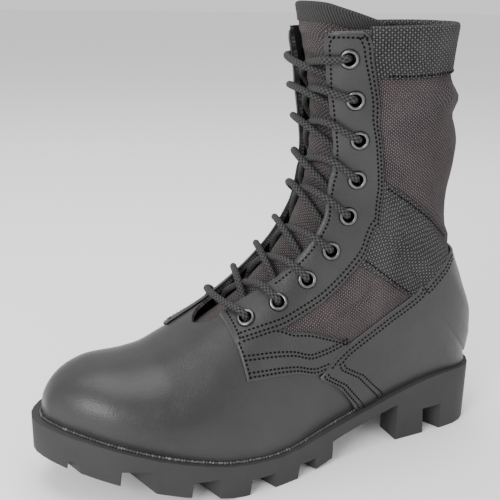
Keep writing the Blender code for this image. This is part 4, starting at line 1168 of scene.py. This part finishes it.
STAYS = {side: Cut(side, stay_place(side), FACE, STAY_THICK) for side in SIDES}
BANDS = {side: Cut(side, band_place(side), LAID + BAND_THICK, BAND_THICK) for side in SIDES}
COUNTERS = {}
BACKSTAYS = {}
for side, label in SIDES.items():
    rolled = (True, False, True, False)
    COUNTERS[side] = Cut(side, counter_place, COUNTER_FACE, COUNTER_THICK, rolled)
    rolled = (True, False, True, True)
    BACKSTAYS[side] = Cut(side, backstay_place(side), STRIP_FACE, BAND_THICK, rolled)
    facing = punched(STAYS[side].made("facing_" + label, 0.0013), side, FACE)
    worked(facing, "SOLIDIFY", thickness=STAY_THICK, offset=-1)
    sewn(facing, facing_leather, "leather", "eyestay_" + label)
    strip = BANDS[side].made("side_band_" + label, 0.0015)
    worked(strip, "SOLIDIFY", thickness=BAND_THICK, offset=-1)
    sewn(strip, facing_leather, "leather", "band_" + label)
counter = joined("heel_counter", [COUNTERS[side].made("half", 0.0017) for side in SIDES])
worked(counter, "SOLIDIFY", thickness=COUNTER_THICK, offset=-1, use_even_offset=False)
sewn(counter, vamp_leather, "leather", "counter")
backstay = joined("back_strip", [BACKSTAYS[side].made("half", 0.0012) for side in SIDES])
worked(backstay, "SOLIDIFY", thickness=BAND_THICK, offset=-1, use_even_offset=False)
sewn(backstay, facing_leather, "leather", "backstay")

# %% [markdown]
# ## Webbing
# The ankle strap runs from under the facing to under the counter. The collar is bound with the same
# webbing, folded over the rim and sewn down inside and outside.

# %% Strap and collar
COLLAR_TOP = 0.0014  # how far the webbing's face stands off the last
RIM_FROM, RIM_TO = 0.66, 0.80  # parts of its width where it goes over the rim
RIM_ROUND, INSIDE_DEPTH = 0.14, 1.2  # in sections: how high it rounds over, how far it goes down inside
STRAP_TUCK = 0.008  # share by which a strap's ends run on under what covers them
STRAP_REAR = 0.74  # share at which a strap is under the counter
COLLAR_THICK = 0.0007


def strap_place(side):
    """The outline of one ankle strap, its ends under the facing and the counter."""
    skin = SKINS[side]

    def shares(table):
        section = np.array([row[0] for row in table])
        share = np.array([row[1] for row in table])
        front = skin.stay_rear(section)
        rear = np.minimum(curve(COUNTER_TOP, 1, section), STRAP_REAR)
        part = (share - front) / np.maximum(rear - front, 1e-3)
        part = (part - part[0]) / (part[-1] - part[0])
        return part, section

    low, high = shares(STRAP_LOW), shares(STRAP_TOP)

    def place(across, along):
        bottom, top = np.interp(across, *low), np.interp(across, *high)
        section = bottom + (top - bottom) * along
        first = skin.stay_rear(section) - STRAP_TUCK
        last = np.minimum(curve(COUNTER_TOP, 1, section), STRAP_REAR + 0.005) + STRAP_TUCK
        return section, first + (last - first) * across, 0.0

    return place


def collar_place(side):
    """The outline of one half of the collar's webbing, from its lower edge over the rim and down inside."""
    skin = SKINS[side]
    middle = -(WALL - COLLAR_TOP) / 2
    turned = (WALL + COLLAR_TOP) / 2

    def place(across, along):
        first = skin.stay_rear(28.0) - 0.006
        share = first + (1 - first) * across
        low = table_at(COLLAR_LOW, share)
        outside = low + (COLLAR - low) * np.minimum(along / RIM_FROM, 1)
        bend = np.clip((along - RIM_FROM) / (RIM_TO - RIM_FROM), 0, 1) * math.pi
        inside = np.clip((along - RIM_TO) / (1 - RIM_TO), 0, 1)
        section = outside - inside * INSIDE_DEPTH + RIM_ROUND * np.sin(bend)
        lift = middle + turned * np.cos(bend) - COLLAR_TOP
        return section, share, lift

    return place


STRAPS = {}
COLLARS = {}
for side, label in SIDES.items():
    STRAPS[side] = Cut(side, strap_place(side), LAID + WEB_THICK, WEB_THICK)
    COLLARS[side] = Cut(side, collar_place(side), COLLAR_TOP, WEB_THICK, (True, False, True, True))
    strap = STRAPS[side].made("strap_" + label, 0.0018)
    worked(strap, "SOLIDIFY", thickness=WEB_THICK, offset=-1)
    sewn(strap, strap_web, "webbing", "ankle_strap_" + label)
collar = joined("collar_webbing", [COLLARS[side].made("half", 0.0014) for side in SIDES])
worked(collar, "SOLIDIFY", thickness=COLLAR_THICK, offset=-1, use_even_offset=False)
sewn(collar, strap_web, "webbing", "collar_band")

# %% [markdown]
# ## Tongue
# A padded tongue of the shaft's cloth lies under the lacing gap and swells up between its edges. Its top is
# bound with a ribbed tape. It isn't a flat sheet: the pad is crowned across and a little quilted by the lace.

# %% Tongue and its binding
TONGUE_LOW, TONGUE_HIGH = 7.7, 29.9
QUILT = 0.0005  # how deep the lace has pressed into it
TAPE = 0.60  # height of the tape, in sections
FOLD_FROM, FOLD_TO = 0.42, 0.58  # parts of the tape's width where it goes over the tongue's edge
TAPE_ROUND = 0.10  # how high it rounds over, in sections
TAPE_FACE, TAPE_THICK = 0.0009, 0.0006


def tongue_points(section, across, lift):
    """Points of the tongue by section and by share across, from -1 on the inner side to 1 on the outer."""
    way = np.abs(across)
    half = SHAFT_HALF * curve(TONGUE_ROWS, TONGUE_HALF, section)
    under = curve(TONGUE_ROWS, TONGUE_UNDER, section)
    fall = TONGUE_DROP[1] * np.maximum(0, section - TONGUE_DROP[0]) * way**2
    at = section - fall
    crown = np.where(way < 0.5, TONGUE_SWELL * np.minimum(1, (section - TONGUE_LOW) / 3), 0.0)
    crown = crown * np.maximum(0, np.cos(np.pi * way)) ** 2
    ripple = QUILT * np.sin(section * 5.1 + across * 2.0) * np.exp(-((way / 0.35) ** 2)) * (section > 10)
    points = np.empty(section.shape + (3,))
    outward = np.empty_like(points)
    for side in SIDES:
        skin = SKINS[side]
        mine = across > 0 if side == OUTER else across <= 0
        share = way * half / skin.girth(at)
        points[mine] = skin.at(at, share, crown + ripple - under + lift)[mine]
        outward[mine] = skin.normal(at, share)[mine]
    return points, outward


across, section = np.meshgrid(np.linspace(-1, 1, 61), np.linspace(TONGUE_LOW, TONGUE_HIGH, 150))
points, outward = tongue_points(section, across, 0.0)
tongue = lay_out("padded_tongue", points, outward)
worked(tongue, "SOLIDIFY", thickness=TONGUE, offset=-1)
sewn(tongue, tongue_cloth, "nylon", "tongue")

across, turn_over = np.meshgrid(np.linspace(-1, 1, 121), np.linspace(0, 1, 25))
bend = np.clip((turn_over - FOLD_FROM) / (FOLD_TO - FOLD_FROM), 0, 1) * math.pi
front = np.minimum(turn_over / FOLD_FROM, 1)
behind = np.clip((turn_over - FOLD_TO) / (1 - FOLD_TO), 0, 1)
section = TONGUE_HIGH + TAPE * (front - behind - 1) + TAPE_ROUND * np.sin(bend)
lift = -TONGUE / 2 + (TONGUE / 2 + TAPE_FACE) * np.cos(bend)
points, outward = tongue_points(section, across, lift)
binding = lay_out("tongue_binding", points, outward * np.cos(bend)[..., None])
worked(binding, "SOLIDIFY", thickness=TAPE_THICK, offset=-1, use_even_offset=False)
sewn(binding, ribbed_binding, "nylon")

# %% [markdown]
# ## Stitches
# One stitch is a small flattened pod of thread. It is modelled once, then a copy is set along every seam, at
# an even pitch and turned with the seam, and each family of seams becomes one mesh.

# %% One stitch and the seams
PITCH = 0.0027
STITCH = (0.00190, 0.00135, 0.00080)  # length, width and height of one
bpy.ops.object.select_all(action="DESELECT")
bpy.ops.mesh.primitive_uv_sphere_add(segments=6, ring_count=4, radius=0.5, rotation=(0, math.pi / 2, 0))
pod = bpy.context.object
bpy.ops.object.transform_apply(rotation=True)
pod_points = np.array([vertex.co for vertex in pod.data.vertices]) * STITCH
pod_faces = [list(polygon.vertices) for polygon in pod.data.polygons]
bpy.data.objects.remove(pod)


def seam(points, outward):
    """Places along a line at an even pitch, each with its directions along, across and out."""
    steps = np.concatenate([[0], np.cumsum(np.linalg.norm(np.diff(points, axis=0), axis=1))])
    if steps[-1] < 2 * PITCH:
        return []
    wanted = np.arange(PITCH / 2, steps[-1], PITCH)
    spots = np.stack([np.interp(wanted, steps, points[:, k]) for k in range(3)], axis=1)
    ways = np.stack([np.interp(wanted, steps, np.gradient(points[:, k])) for k in range(3)], axis=1)
    outs = np.stack([np.interp(wanted, steps, outward[:, k]) for k in range(3)], axis=1)
    ways /= np.linalg.norm(ways, axis=1, keepdims=True)
    outs /= np.linalg.norm(outs, axis=1, keepdims=True)
    asides = np.cross(outs, ways)
    return list(zip(spots, ways, asides, outs))


def stitched(name, stitches):
    """One mesh of all the stitches of a family."""
    points, faces = [], []
    for spot, way, aside, out in stitches:
        base = len(points) * len(pod_points)
        frame_here = np.stack([way, aside, out])
        points.append(spot + pod_points @ frame_here + out * 0.00008)
        faces += [[base + k for k in face] for face in pod_faces]
    mesh = bpy.data.meshes.new(name)
    mesh.from_pydata(np.concatenate(points).tolist(), [], faces)
    piece = bpy.data.objects.new(name, mesh)
    bpy.context.scene.collection.objects.link(piece)
    sewn(piece, waxed_thread, "lace_cord", angle=80)


def band_row(side, inset):
    """A line along the band, some way above its lower edge, as far as the counter."""
    section = np.linspace(STAY_FOOT[OUTER] + 0.07, BAND_END, 200)
    share = curve(BAND_EDGES, 2, section) - inset / SKINS[side].girth(section)
    under = (section > COUNTER_TOP[0][0]) & (share > curve(COUNTER_TOP, 1, section) - 0.004)
    last = int(np.argmax(under)) if under.any() else len(section)
    return spots_on(side, section[:last], share[:last], LAID + BAND_THICK)


def tail_row(side, behind):
    """A line down the counter's front tail, some sections behind its front edge."""
    share = np.linspace(0.70, 0.985, 60)
    section = table_at(COUNTER_FRONT, share) + behind
    return spots_on(side, section, share, COUNTER_FACE)


def along_edges(cut, rows):
    """Stitches along several edges of a cut piece."""
    return [stitch for row in rows for stitch in seam(*cut.row(*row))]


# %% The seams of the boot
# Rows of stitches: the edge that they follow, how far inside it, then where along it they start and end
FACING_START = {OUTER: 0.10, INNER: 0.14}
FACING_ROWS = [("rear", 0.0026, 0.012, 0.992), ("rear", 0.0058, 0.012, 0.988)]
FACING_ROWS += [("high", 0.0034, 0.04, 0.97), ("low", 0.0026, 0.10, 0.9)]
BAND_ROWS = [("front", 0.0022, 0.06, 0.97), ("low", 0.0024, 0.06, 0.94)]
BAND_INSETS = (0.0024, 0.0050, 0.0125, 0.0151)
COUNTER_ROWS = [("front", 0.0026, 0.03, 0.93), ("front", 0.0056, 0.05, 0.90)]
TAIL_ROWS = (0.10, 0.22, 0.62, 0.75)  # in sections behind the tail's front edge
STRAP_ROWS = [("low", 0.0022, 0.06, 0.95), ("high", 0.0022, 0.06, 0.95)]
BACK_ROWS = [("front", 0.0024, 0.1, 0.95), ("high", 0.0024, 0.3, 0.95)]
COLLAR_ROWS = [("low", 0.0022, 0.08, 0.99)]

for side, label in SIDES.items():
    front = ("front", 0.0040, FACING_START[side], 0.990)
    stitched("facing_stitches_" + label, along_edges(STAYS[side], [front] + FACING_ROWS))
    stitches = along_edges(BANDS[side], BAND_ROWS)
    for inset in BAND_INSETS:
        stitches += seam(*band_row(side, inset))
    stitched("band_stitches_" + label, stitches)
    stitches = along_edges(COUNTERS[side], COUNTER_ROWS)
    for behind in TAIL_ROWS:
        stitches += seam(*tail_row(side, behind))
    stitched("counter_stitches_" + label, stitches)
    stitches = along_edges(STRAPS[side], STRAP_ROWS) + along_edges(BACKSTAYS[side], BACK_ROWS)
    stitched("strap_stitches_" + label, stitches)
    stitched("collar_stitches_" + label, along_edges(COLLARS[side], COLLAR_ROWS))

# %% [markdown]
# ## Eyelets
# An eyelet is one ring of steel: a rolled flange on the face of the leather and a barrel through it. Its
# profile is a small circle, drawn down into the barrel and spun round the hole's axis. One is modelled and
# then copied to the eighteen holes.

# %% Eyelets
# The ring's profile: radius, height over the leather, from the barrel's inside over the flange and back
PROFILE = [(0.0033, -0.0056), (0.0033, -0.0002), (0.0034, 0.0006), (0.0038, 0.0012), (0.0044, 0.0014)]
PROFILE += [(0.0052, 0.0012), (0.0058, 0.0007), (0.0060, 0.0000), (0.0057, -0.0004), (0.0042, -0.0004)]
PROFILE += [(0.0040, -0.0008), (0.0040, -0.0056)]
TURNS = 36
WEAR_AND_HIGHLIGHT_FROM, WEAR_AND_HIGHLIGHT_OVER = 0.0005, 0.0009  # heights between which the ring turns paler: black worn off, and partly a painted highlight


def eyelet_place(side, section, share):
    """The frame of one eyelet: z out of the leather, its origin on the leather."""
    skin = SKINS[side]
    section, share = np.array(float(section)), np.array(float(share))
    turned = Vector(skin.normal(section, share)).to_track_quat("Z", "Y").to_matrix()
    return Matrix.Translation(Vector(skin.at(section, share, FACE))) @ turned.to_4x4()


bpy.ops.object.select_all(action="DESELECT")
bpy.ops.mesh.primitive_circle_add(vertices=len(PROFILE), radius=0.001)
model = bpy.context.object
for vertex, (radius, height) in zip(model.data.vertices, PROFILE):
    vertex.co = (radius, 0, height)
bpy.ops.object.mode_set(mode="EDIT")
bpy.ops.mesh.select_all(action="SELECT")
bpy.ops.mesh.spin(steps=TURNS, angle=math.tau, center=(0, 0, 0), axis=(0, 0, 1))
bpy.ops.mesh.select_all(action="SELECT")
bpy.ops.mesh.remove_doubles(threshold=0.00001)
bpy.ops.mesh.normals_make_consistent(inside=False)
bpy.ops.object.mode_set(mode="OBJECT")
# The rim mask: the top of the flange, painted paler as wear and partly as a painted highlight.
rims = model.data.attributes.new("rim", "FLOAT", "POINT")
heights = np.array([vertex.co.z for vertex in model.data.vertices])
rims.data.foreach_set("value", np.clip((heights - WEAR_AND_HIGHLIGHT_FROM) / WEAR_AND_HIGHLIGHT_OVER, 0, 1).astype(np.float32))
for side, label in SIDES.items():
    for number, row in enumerate(EYELETS, 1):
        mesh = model.data.copy()
        mesh.transform(eyelet_place(side, row[0], row[COLUMN[side]]))
        eyelet = bpy.data.objects.new(f"rolled_eyelet_{label}_{number}", mesh)
        mesh.name = eyelet.name
        bpy.context.scene.collection.objects.link(eyelet)
        sewn(eyelet, blackened_steel, "eyelet_metal", f"eyelet_{label}_{number}", angle=40)
bpy.data.objects.remove(model)

# %% [markdown]
# ## Lace
# One round lace, from the bar over the bottom pair up to the top pair. Behind each eyelet it turns up inside,
# comes out under its own facing, crosses the gap, lies over the other facing and goes down through the
# next eyelet. The strand that ends on the inner side lies on top. Its hidden ends stop inside the top pair.

# %% The run of the lace
OVER = FACE + LACE_RADIUS + 0.0002
UNDER = -(WALL + LACE_RADIUS + 0.0006)
LACE_SIDES = 12
LACE_STEP = 0.0011
STRANDS_CROSS = {OUTER: 0.0036, INNER: -0.0011}  # heights in the gap of the strands that start on each side
BAR_ARCH = 0.0026  # how far the bottom bar arches up
BESIDE = 0.0022  # how far from an eyelet's middle, toward the gap, the lace dips in
STEP_MOST, STEP_PART = 0.35, 0.16  # how far past an eyelet it bends: most sections, part of the way on


def lace_spot(side, section, share, lift):
    """One point of the lace, at a height over the last."""
    return SKINS[side].at(np.array(float(section)), np.array(float(share)), lift)


def eyelet_row(side, number):
    """The section and the share of one eyelet."""
    return EYELETS[number][0], EYELETS[number][COLUMN[side]]


def crossing(side, number):
    """From inside one eyelet to just outside the next one up on the other side."""
    section, share = eyelet_row(side, number)
    there, there_share = eyelet_row(-side, number + 1)
    step = min(STEP_MOST, STEP_PART * (there - section))
    edge, far_edge = float(SKINS[side].throat(section)), float(SKINS[-side].throat(there))
    middle = (section + there) / 2
    way = [lace_spot(side, section + 0.3 * step, share * 0.7 + edge * 0.3, UNDER)]
    way.append(lace_spot(side, section + step, edge, UNDER + 0.0008))
    way.append(lace_spot(OUTER, middle, 0.0, STRANDS_CROSS[side]))
    way.append(lace_spot(-side, there - step, far_edge * 1.02, OVER + 0.0003))
    way.append(lace_spot(-side, there - 0.4 * step, far_edge * 0.4 + there_share * 0.6, OVER + 0.0003))
    return way


def down(side, number):
    """Through an eyelet, from just outside it to inside the upper."""
    section, share = eyelet_row(side, number)
    near = share - BESIDE / float(SKINS[side].girth(section))
    way = [lace_spot(side, section, near, FACE + 0.0022)]
    way.append(lace_spot(side, section, share, -0.0010))
    way.append(lace_spot(side, section, share, UNDER + 0.0006))
    return way


def strand(side):
    """One half of the lace, from its first eyelet up."""
    way = []
    for number in range(len(EYELETS) - 1):
        way += crossing(side, number) + down(-side, number + 1)
        side = -side
    return way


bottom = []
for side in SIDES:
    section, share = eyelet_row(side, 0)
    edge = float(SKINS[side].throat(section - 0.3))
    reach = down(side, 0)[::-1]
    reach.append(lace_spot(side, section - 0.10, share * 0.5 + edge * 0.5, OVER + 0.0002))
    reach.append(lace_spot(side, section - 0.25, edge, OVER + 0.0006))
    bottom.append(reach)
over = lace_spot(OUTER, EYELETS[0][0] - 0.35, 0.0, OVER + BAR_ARCH)
route = strand(OUTER)[::-1] + bottom[0] + [over] + bottom[1][::-1] + strand(INNER)
route = np.array(route)


def smoothed(way, step):
    """A smooth curve through the points, at even steps."""
    padded = np.concatenate([[2 * way[0] - way[1]], way, [2 * way[-1] - way[-2]]])
    fine = []
    for k in range(1, len(padded) - 2):
        a, b, c, d = padded[k - 1 : k + 3]
        gaps = [max(np.linalg.norm(q - p), 1e-5) ** 0.5 for p, q in ((a, b), (b, c), (c, d))]
        m1 = (c - b) + gaps[1] * ((b - a) / gaps[0] - (c - a) / (gaps[0] + gaps[1]))
        m2 = (c - b) + gaps[1] * ((d - c) / gaps[2] - (d - b) / (gaps[1] + gaps[2]))
        for t in np.linspace(0, 1, 16, endpoint=False):
            part = 3 * t**2 - 2 * t**3
            fine.append(b * (1 - part) + c * part + m1 * (t**3 - 2 * t**2 + t) + m2 * (t**3 - t**2))
    fine = np.array(fine + [padded[-2]])
    for _ in range(6):
        fine[1:-1] = fine[1:-1] * 0.5 + (fine[:-2] + fine[2:]) * 0.25
    steps = np.concatenate([[0], np.cumsum(np.linalg.norm(np.diff(fine, axis=0), axis=1))])
    wanted = np.linspace(0, steps[-1], int(steps[-1] / step))
    return np.stack([np.interp(wanted, steps, fine[:, k]) for k in range(3)], axis=1)


def tube(name, way, radius, sides, closed=False):
    """A round tube along a line, as a rolled grid whose map holds the lengths round and along it."""
    ahead = np.gradient(way, axis=0)
    if closed:
        ahead[0] = ahead[-1] = way[1] - way[-2]
    ahead /= np.linalg.norm(ahead, axis=1, keepdims=True)
    across = np.cross(ahead[0], (0.0, 0.0, 1.0))
    frames = []
    for direction in ahead:
        across = across - direction * (across @ direction)
        across /= np.linalg.norm(across)
        frames.append((across.copy(), np.cross(direction, across)))
    angle = np.linspace(0, math.tau, sides + 1)
    first, second = np.array([f[0] for f in frames]), np.array([f[1] for f in frames])
    outward = first[:, None] * np.cos(angle)[:, None] + second[:, None] * np.sin(angle)[:, None]
    radii = np.broadcast_to(np.asarray(radius, float), (len(way),))[:, None, None]
    points = way[:, None] + outward * radii
    steps = np.concatenate([[0], np.cumsum(np.linalg.norm(np.diff(way, axis=0), axis=1))])
    around = np.broadcast_to(angle * float(np.mean(radii)), points.shape[:2])
    along = np.broadcast_to(steps[:, None], points.shape[:2])
    piece = joined(name, [lay_out(name, points, outward, lengths=(around, along))])
    if not closed:
        only(piece)
        bpy.ops.object.mode_set(mode="EDIT")
        bpy.ops.mesh.select_all(action="SELECT")
        bpy.ops.mesh.fill_holes(sides=0)
        bpy.ops.object.mode_set(mode="OBJECT")
    return piece


lace_way = smoothed(route, LACE_STEP)
lace = tube("braided_lace", lace_way, LACE_RADIUS, LACE_SIDES)
sewn(lace, braided_lace, "lace_cord", "lace", angle=60)
lace_length = float(np.linalg.norm(np.diff(lace_way, axis=0), axis=1).sum())
print("lace in the boot:", round(lace_length, 3), "m")

# %% [markdown]
# ## Sole, welt and insole
# The sole keeps the solid's lugs. A copy of it is melted together, its flats are cleared of stray edges, and
# every sharp edge gets a small moulded round. Where the upper meets it runs a knurled welt line. The
# insole is a dished felt sock.

# %% Sole
MOULD_ROUND = 0.0009  # the moulded round of the sole's edges
bpy.ops.object.select_all(action="DESELECT")
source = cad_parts["outsole"]
sole = bpy.data.objects.new("lugged_sole", source.data.copy())
bpy.context.scene.collection.objects.link(sole)
only(sole)
bpy.ops.object.mode_set(mode="EDIT")
bpy.ops.mesh.select_all(action="SELECT")
bpy.ops.mesh.remove_doubles(threshold=0.00002)
bpy.ops.mesh.dissolve_limited(angle_limit=math.radians(1.5))
bpy.ops.object.mode_set(mode="OBJECT")
sharp = math.radians(32)
worked(sole, "BEVEL", width=MOULD_ROUND, segments=2, limit_method="ANGLE", angle_limit=sharp)
worked(sole, "TRIANGULATE")
sewn(sole, sole_rubber, "rubber", "outsole", angle=35)

# %% Welt and insole
WELT_STEP = 0.00055  # a fourth of a rib of the welt
WELT_RADIUS, WELT_RIB = 0.0009, 0.00022
DISH = 0.0016  # how far the insole's sides rise
FELT = 0.0028


def foot_line(inset, rise, count):
    """A closed line round the bottom of the upper, further in by the inset."""
    rear, front = REAR_EDGE + inset, LENGTH - TIP_EDGE - inset
    x = rear + (front - rear) * (1 - np.cos(np.linspace(0, math.pi, count))) / 2
    sides = [np.stack([x, feather(side, x, inset), seat(x) + rise], axis=1) for side in SIDES]
    return np.concatenate([sides[0], sides[1][-2::-1]]) + STAND


outline = smoothed(foot_line(-0.0006, 0.0008, 160), WELT_STEP)
outline[-1] = outline[0]
ribs = WELT_RADIUS + WELT_RIB * np.sin(np.arange(len(outline)) * math.pi / 2)
ribs[-1] = ribs[0]
welt = tube("knurled_welt", outline, ribs, 8, closed=True)
sewn(welt, welt_rubber, "rubber", angle=60)

width, length = np.meshgrid(np.linspace(0, 1, 41), np.linspace(0.004, 0.996, 120))
inset = WALL + INSOLE_CLEAR
rear, front = REAR_EDGE + inset, LENGTH - TIP_EDGE - inset
x = rear + (front - rear) * (1 - np.cos(math.pi * length)) / 2
left, right = feather(OUTER, x, inset), feather(INNER, x, inset)
dish = DISH * (np.abs(width * 2 - 1) ** 3)
z = seat(x) + SEAT_GAP + INSOLE + dish
points = np.stack([x, left + (right - left) * width, z], axis=2) + STAND
insole = lay_out("felt_insole", points, np.broadcast_to((0.0, 0.0, 1.0), points.shape))
worked(insole, "SOLIDIFY", thickness=FELT, offset=-1, use_even_offset=False)
sewn(insole, insole_felt, "felt", "insole")

# %% [markdown]
# ## Studio
# A pale floor, a wide soft light overhead and one at each side, as for a catalogue picture. The camera is
# the one solved from the photograph, so the boot fills the frame as it does there.

# %% Floor and lights
bpy.ops.object.select_all(action="DESELECT")
bpy.ops.mesh.primitive_plane_add(size=24, location=(0, 0, -0.0002))
floor = bpy.context.object
floor.name = "studio_floor"
paper = Finish("pale_paper", 0.9)
paper.set(Base_Color=paper.blend(paper.noise(3), (0.90, 0.90, 0.90), (0.92, 0.92, 0.92)))
floor.data.materials.append(paper.material)

world = bpy.data.worlds.new("studio")
bpy.context.scene.world = world
world.use_nodes = True
world.node_tree.nodes["Background"].inputs["Color"].default_value = (1, 1, 1, 1)
world.node_tree.nodes["Background"].inputs["Strength"].default_value = 0.95


def soft_light(name, place, aim, size, power):
    """A square soft light that faces a point."""
    lamp = bpy.data.lights.new(name, "AREA")
    lamp.size = size
    lamp.energy = power
    made = bpy.data.objects.new(name, lamp)
    made.location = place
    made.rotation_euler = (Vector(aim) - Vector(place)).to_track_quat("-Z", "Y").to_euler()
    bpy.context.scene.collection.objects.link(made)


soft_light("key", (1.25, 0.75, 0.75), (0.05, 0, 0.08), 0.7, 26)
soft_light("fill", (-0.9, 1.3, 0.7), (0, 0, 0.12), 1.0, 8)
soft_light("top", (0.1, -0.3, 1.6), (0, 0, 0.1), 1.2, 20)
print("lights set")

# %% Camera
LENS = 56.39
SHIFT = (-2.6737 / 500, -6.6094 / 500)
RIGHT = (-0.913017, 0.407479, 0.018974)
UP = (-0.107332, -0.284848, 0.952545)
BACK = (0.393547, 0.867653, 0.303807)
eye = np.array((0.362260, 0.430246, 0.293312)) + STAND
seen_from = Matrix([[RIGHT[k], UP[k], BACK[k], eye[k]] for k in range(3)] + [[0, 0, 0, 1]])
lens = bpy.data.cameras.new("camera")
lens.sensor_width = 36
lens.lens = LENS
lens.shift_x, lens.shift_y = SHIFT
lens.clip_end = 60
camera = bpy.data.objects.new("camera", lens)
camera.matrix_world = seen_from
bpy.context.scene.collection.objects.link(camera)
bpy.context.scene.camera = camera
print("camera at", [round(float(value), 3) for value in eye])
